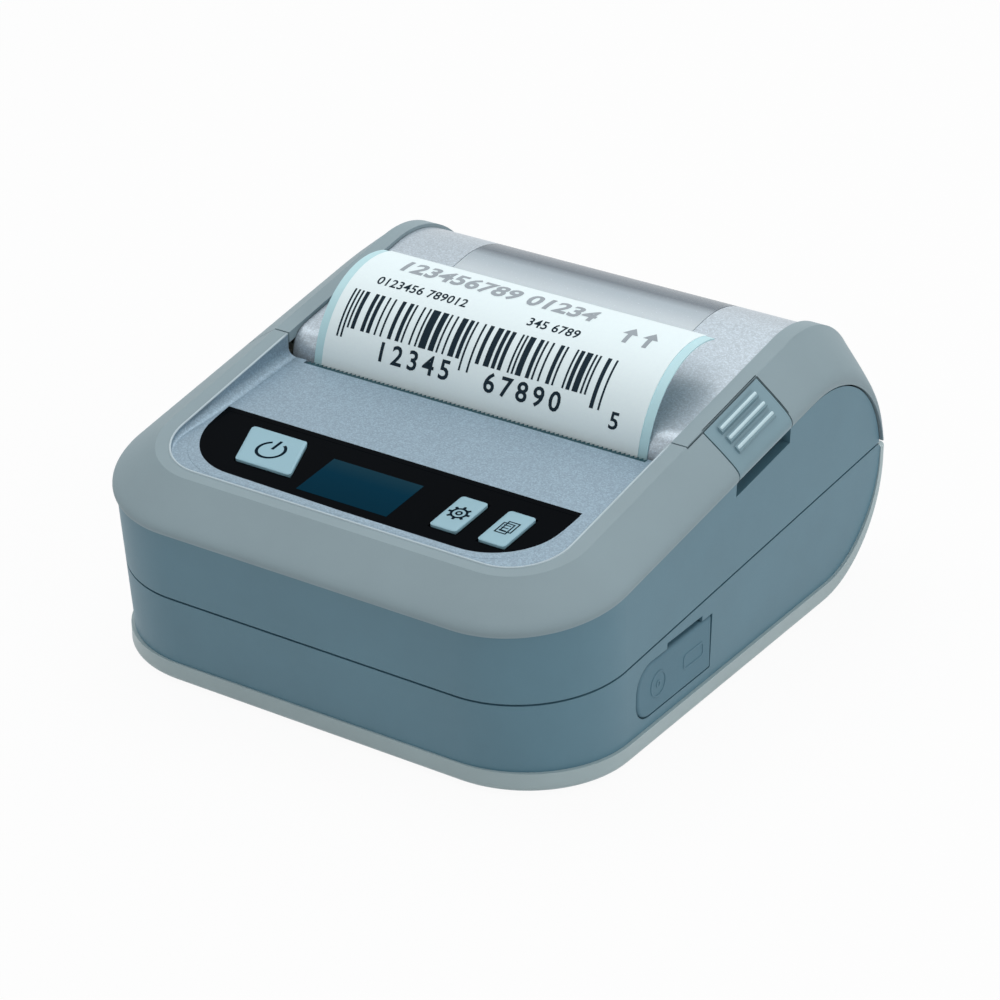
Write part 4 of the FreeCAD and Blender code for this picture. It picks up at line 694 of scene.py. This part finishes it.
def keyCaps():
    for name, (left, front, width, length, skew, body) in keyShapes.items():
        right, rear = left + width, front + length
        rings = []
        bm = bmesh.new()
        for inset, lift in capEdge["rings"]:
            corners = [(left + inset, front + inset), (right - inset, front + inset),
                       (right + skew - inset, rear - inset), (left + skew + inset, rear - inset)]
            outline = roundedOutline(corners, max(capEdge["leastRound"], capEdge["round"] - inset))
            rings.append([bm.verts.new(onPanel(q.x, q.y, lift)) for q in outline])
        ringFaces(bm, rings)
        bm.faces.new(rings[-1])
        smoothSides(makePiece(name + "_cap", bm, keyFace, body))


seamRim = {"half": 45.8, "round": 11.7, "front": -52.655, "rear": -6.2, "straightSteps": 12, "cornerSteps": 16,
           "ridge": (43.6, 0.19), "panel": (43.3, 0.095)}  # height at the front and rise per millimetre


def rimHeight(line, y):
    height, rise = seamRim[line]
    return height + rise * (y - seamRim["front"])


def seamPath():
    half, bend, front, rear = (seamRim[key] for key in ("half", "round", "front", "rear"))
    straight, corner = seamRim["straightSteps"], seamRim["cornerSteps"]
    path = []                                            # plan points of the rim and the way to the panel
    for k in range(straight + 1):
        path.append((-half, mixed(rear, front + bend, k / straight), 1.0, 0.0))
    for k in range(1, corner):
        nx, ny = onCircle(0, 0, 1, 90 * k / corner)
        path.append((-half + bend - bend * nx, front + bend - bend * ny, nx, ny))
    leftSide = list(path)
    for k in range(straight + 1):
        path.append((mixed(-half + bend, half - bend, k / straight), front, 0.0, 1.0))
    path += [(-x, y, -nx, ny) for x, y, nx, ny in reversed(leftSide)]
    return path


lining = {"inset": 0.12, "below": 0.12, "above": 0.02, "bend": 2.0, "bendShare": 0.8, "steps": 6}


def panelLining():
    bm = bmesh.new()                                     # silver wall that bends into the panel
    rows = []
    for x, y, nx, ny in seamPath():
        top = rimHeight("ridge", y) - lining["below"]
        foot = rimHeight("panel", y) + lining["above"]
        bend = min(lining["bend"], lining["bendShare"] * (top - foot))
        section = [(0.0, top), (0.0, foot + bend)]
        for j in range(1, lining["steps"] + 1):
            c, s = onCircle(0, 0, 1, 90 * j / lining["steps"])
            section.append((bend - bend * c, foot + bend - bend * s))
        row = []
        for out, z in section:
            place = lining["inset"] + out
            row.append(bm.verts.new(Vector((x + nx * place, y + ny * place, z)) * mm))
        rows.append(row)
    sheetFaces(bm, rows)
    piece = makePiece("panel_lining", bm, silver, "base")
    smoothSides(piece)


# colour: paler than the trim, a painted highlight along the trim's inner edge
bead = {"radius": 0.24, "out": 0.1, "sink": 0.05, "sides": 8, "colour": srgb(184, 201, 208)}


def rimBeadHighlight():
    beadHighlightLook = mouldedPlastic("rimBeadHighlight", bead["colour"], 0.35, 2600, 0.2, 0.03)
    bm = bmesh.new()                                     # pale bead along the trim's inner edge, its paler colour a painted highlight line
    rings = []
    for x, y, nx, ny in seamPath():
        ridge = rimHeight("ridge", y) - bead["sink"]
        ring = []
        for k in range(bead["sides"]):
            out, up = onCircle(-bead["out"], ridge, bead["radius"], 360 * k / bead["sides"])
            ring.append(bm.verts.new(Vector((x + nx * out, y + ny * out, up)) * mm))
        rings.append(ring)
    ringFaces(bm, rings)
    bm.faces.new(rings[0])
    bm.faces.new(list(reversed(rings[-1])))
    smoothSides(makePiece("rim_bead", bm, beadHighlightLook, "base"))


windowEdge = {  # panel millimetres: silver band over the window's front edge, black film along its rear edge
    "seamLeft": -43.25, "seamRight": 40.85, "seamFront": 1.0, "seamRounds": (13.5, 12.5), "seamEnd": 17.4,
    "left": -43.4, "right": 40.5, "front": 2.6, "slant": 0.02, "leftRound": (15.0, 17.0), "rightRound": 14.0,
    "frontPoints": (-20.0, -10.0, 0.0, 10.0, 20.0), "cornerSteps": 24, "bandSteps": 90, "leastBand": 0.2,
    "filmOuter": [(-43.0, 16.5), (-43.35, 19.0), (-43.55, 21.5), (-43.7, 24.0), (-20.0, 24.0), (0.0, 24.0),
                  (20.0, 24.0), (40.43, 24.0), (40.5, 20.0)],
    "filmInner": [(-42.4, 16.5), (-42.4, 19.0), (-42.4, 21.5), (-42.4, 22.5), (-20.0, 22.5), (0.0, 22.5),
                  (20.0, 22.5), (39.9, 22.5), (39.9, 20.0)],
    "thick": 0.05, "edge": 0.08, "mostEdge": 0.3, "leastAcross": 0.01, "foot": -0.03,
}


def resample(points, count):
    lengths = [0.0]
    for a, b in zip(points, points[1:]):
        lengths.append(lengths[-1] + math.dist(a, b))
    result = []
    part = 0
    for k in range(count + 1):
        goal = lengths[-1] * k / count
        while part < len(points) - 2 and lengths[part + 1] < goal:
            part += 1
        share = (goal - lengths[part]) / (lengths[part + 1] - lengths[part])
        result.append([mixed(a, b, share) for a, b in zip(points[part], points[part + 1])])
    return result


def filmBetween(name, outer, inner, mat):
    bm = bmesh.new()                                     # thin film with turned-down edges
    thick, foot = windowEdge["thick"], windowEdge["foot"]
    rows = []
    for a, b in zip(outer, inner):
        across = max(math.dist(a, b), windowEdge["leastAcross"])
        step = min(windowEdge["mostEdge"], windowEdge["edge"] / across)
        row = []
        for share, lift in ((0, foot), (step, thick), (1 - step, thick), (1, foot)):
            row.append(bm.verts.new(onPanel(mixed(a[0], b[0], share), mixed(a[1], b[1], share), lift)))
        rows.append(row)
    sheetFaces(bm, rows)
    makePiece(name, bm, mat, "base")


def windowFilms():
    e = windowEdge

    def frontAt(u):
        return e["front"] - e["slant"] * min(0.0, u)

    leftRound, rightRound = e["seamRounds"]
    wide, long = e["leftRound"]
    turns = [90 * k / e["cornerSteps"] for k in range(e["cornerSteps"] + 1)]
    seam = [(e["seamLeft"], e["seamEnd"])]
    edge = []
    for turn in turns:
        seam.append(onCircle(e["seamLeft"] + leftRound, e["seamFront"] + leftRound, leftRound, 180 + turn))
        c, s = onCircle(0, 0, 1, 180 + turn)
        u = e["left"] + wide + wide * c
        if u > e["seamLeft"] + e["leastBand"]:
            edge.append((u, frontAt(u) + long + long * s))
    for u in e["frontPoints"]:
        edge.append((u, frontAt(u)))
    for turn in turns:
        seam.append(onCircle(e["seamRight"] - rightRound, e["seamFront"] + rightRound, rightRound, 270 + turn))
        r = e["rightRound"]
        edge.append(onCircle(e["right"] - r, e["front"] + r, r, 270 + turn))
    seam.append((e["seamRight"], e["seamEnd"]))
    steps = e["bandSteps"]
    filmBetween("panel_band", resample(seam, steps), resample(edge, steps), silver)
    filmBetween("window_film", e["filmOuter"], e["filmInner"], blackGloss)


# latch, port cover and underside
# colour: the pale rib caps are a painted highlight along the ribs of the blue latch
latchRibs = {"lines": (51.49, 53.48, 55.46), "front": 3.3, "rear": 16.8, "width": 0.36, "height": 0.28,
             "sink": 0.08, "probe": 0.3, "steps": 60, "sides": 8, "leastEnd": 0.06,
             "colour": srgb(196, 222, 230)}


def ribCaps():
    # pale caps over the latch's ribs, coloured as a painted highlight
    ribHighlightLook = mouldedPlastic("latchRibHighlight", latchRibs["colour"], 0.3, 3600, 0.1, 0.03)
    width, height, probe = (latchRibs[key] for key in ("width", "height", "probe"))
    steps, sides = latchRibs["steps"], latchRibs["sides"]
    length = latchRibs["rear"] - latchRibs["front"]
    for number, x in enumerate(latchRibs["lines"], start=1):
        bm = bmesh.new()
        rows = []
        for k in range(steps + 1):
            y = latchRibs["front"] + length * k / steps
            hits = [dropOn("release_latch", x + shift, y) for shift in (0, -probe, probe)]
            if None in hits:
                continue
            z, nearZ, farZ = (where.z / mm for where, normal in hits)
            side = Vector((1, 0, (farZ - nearZ) / (2 * probe))).normalized()
            up = Vector((-side.z, 0, side.x))
            fromEnd = min(1.0, min(k, steps - k) * length / steps / width)
            fade = math.sqrt(max(latchRibs["leastEnd"], 1 - (1 - fromEnd) ** 2))     # round ends
            row = []
            for j in range(sides + 1):
                c, s = onCircle(0, 0, fade, 180 * j / sides)
                place = Vector((x, y, z)) - side * width * c + up * (height * s - latchRibs["sink"])
                row.append(bm.verts.new(place * mm))
            rows.append(row)
        sheetFaces(bm, rows)
        bm.faces.new(rows[0])
        bm.faces.new(list(reversed(rows[-1])))
        smoothSides(makePiece("latch_rib_" + str(number), bm, ribHighlightLook, "latch"))


# colour: painted shadow, a dark film standing in for the shade in the gap beside the latch
latchGapShadow = {"inner": 49.65, "rear": 19.94, "gap": 0.35, "front": 0.1, "outer": 56.9, "edges": (0.02, 0.2),
             "lift": 0.012, "alongSteps": 20, "acrossSteps": 24, "colour": srgb(12, 26, 34)}


def latchGapShadowFilm():
    gapShadowLook = faintGloss(mouldedPlastic("latchGapShadow", latchGapShadow["colour"], 0.6, 2600, 0.2, 0.05))
    inner, rear = latchGapShadow["inner"] - latchGapShadow["gap"], latchGapShadow["rear"] + latchGapShadow["gap"]
    along, across = latchGapShadow["alongSteps"], latchGapShadow["acrossSteps"]
    path = []                                            # painted shadow: dark film on the lid's trim along the gap beside the latch
    for k in range(along):
        path.append((inner, mixed(latchGapShadow["front"], rear, k / along), -1.0, 0.0))
    path.append((inner, rear, -1.0, 1.0))
    for k in range(1, across + 1):
        path.append((mixed(inner, latchGapShadow["outer"], k / across), rear, 0.0, 1.0))
    bm = bmesh.new()
    rows = []
    for x, y, nx, ny in path:
        hits = [dropOn("lid_trim", x + nx * out, y + ny * out) for out in latchGapShadow["edges"]]
        if None not in hits:
            rows.append([bm.verts.new(where + normal * latchGapShadow["lift"] * mm) for where, normal in hits])
    sheetFaces(bm, rows)
    makePiece("latch_gap_shadow", bm, gapShadowLook, "lid")


flapSigns = {"x": 57.0, "z": 13.1, "ring": (-27.2, 2.6, 36), "dot": (-27.2, 0.6, 24), "plug": (-14.2, 3.6, 1.5),
             "plugRound": 0.9, "rise": 0.16, "width": 0.42,  # profile: share of the width, share of the rise
             "profile": ((0.5, -0.05), (0.5, 0.6), (0.25, 1.0), (-0.25, 1.0), (-0.5, 0.6), (-0.5, -0.05))}


def raisedLoop(name, points):
    bm = bmesh.new()                                     # low raised line on the cover's outer face
    rings = []
    count = len(points)
    for grow, lift in flapSigns["profile"]:
        x = flapSigns["x"] + lift * flapSigns["rise"]
        ring = []
        for k in range(count):
            here, before, after = Vector(points[k]), Vector(points[k - 1]), Vector(points[(k + 1) % count])
            along = (after - before).normalized()
            place = here + Vector((along.y, -along.x)) * grow * flapSigns["width"]
            ring.append(bm.verts.new(Vector((x, place.x, place.y)) * mm))
        rings.append(ring)
    ringFaces(bm, rings)
    smoothSides(makePiece(name, bm, flapRubber, "port_flap"))


def coverSigns():
    z = flapSigns["z"]
    for sign in ("ring", "dot"):
        y, r, count = flapSigns[sign]
        raisedLoop("flap_" + sign, [onCircle(y, z, r, 360 * k / count) for k in range(count)])
    y, a, b = flapSigns["plug"]
    corners = [(y - a, z - b), (y + a, z - b), (y + a, z + b), (y - a, z + b)]
    raisedLoop("flap_plug", [(q.x, q.y) for q in roundedOutline(corners, flapSigns["plugRound"])])


screws = {"places": ((-47, -30), (47, -44), (-47, 14), (47, 14)), "z": 0.5, "points": 40,
          "profile": ((2.3, 0.0), (2.3, 0.12), (1.84, 0.22), (0.9, 0.24), (0.8, 0.05)),  # radius, drop
          "drive": 1.0, "arm": (0, 1, 9), "waist": 0.42}


def floorScrews():
    count = screws["points"]
    for number, (x, y) in enumerate(screws["places"], start=1):
        bm = bmesh.new()
        rings = []
        for radius, drop in screws["profile"]:
            ring = []
            for k in range(count):
                reach = radius
                if radius < screws["drive"] and k % (count // 4) not in screws["arm"]:
                    reach = radius * screws["waist"]     # the drive recess is a cross
                place = (*onCircle(x, y, reach, 360 * k / count), screws["z"] - drop)
                ring.append(bm.verts.new(Vector(place) * mm))
            rings.append(ring)
        ringFaces(bm, rings)
        bm.faces.new(rings[-1])
        makePiece("floor_screw_" + str(number), bm, steel, "base")


displayFace()
keyCaps()
panelLining()
rimBeadHighlight()
windowFilms()
ribCaps()
latchGapShadowFilm()
coverSigns()
floorScrews()
print("small pieces set")
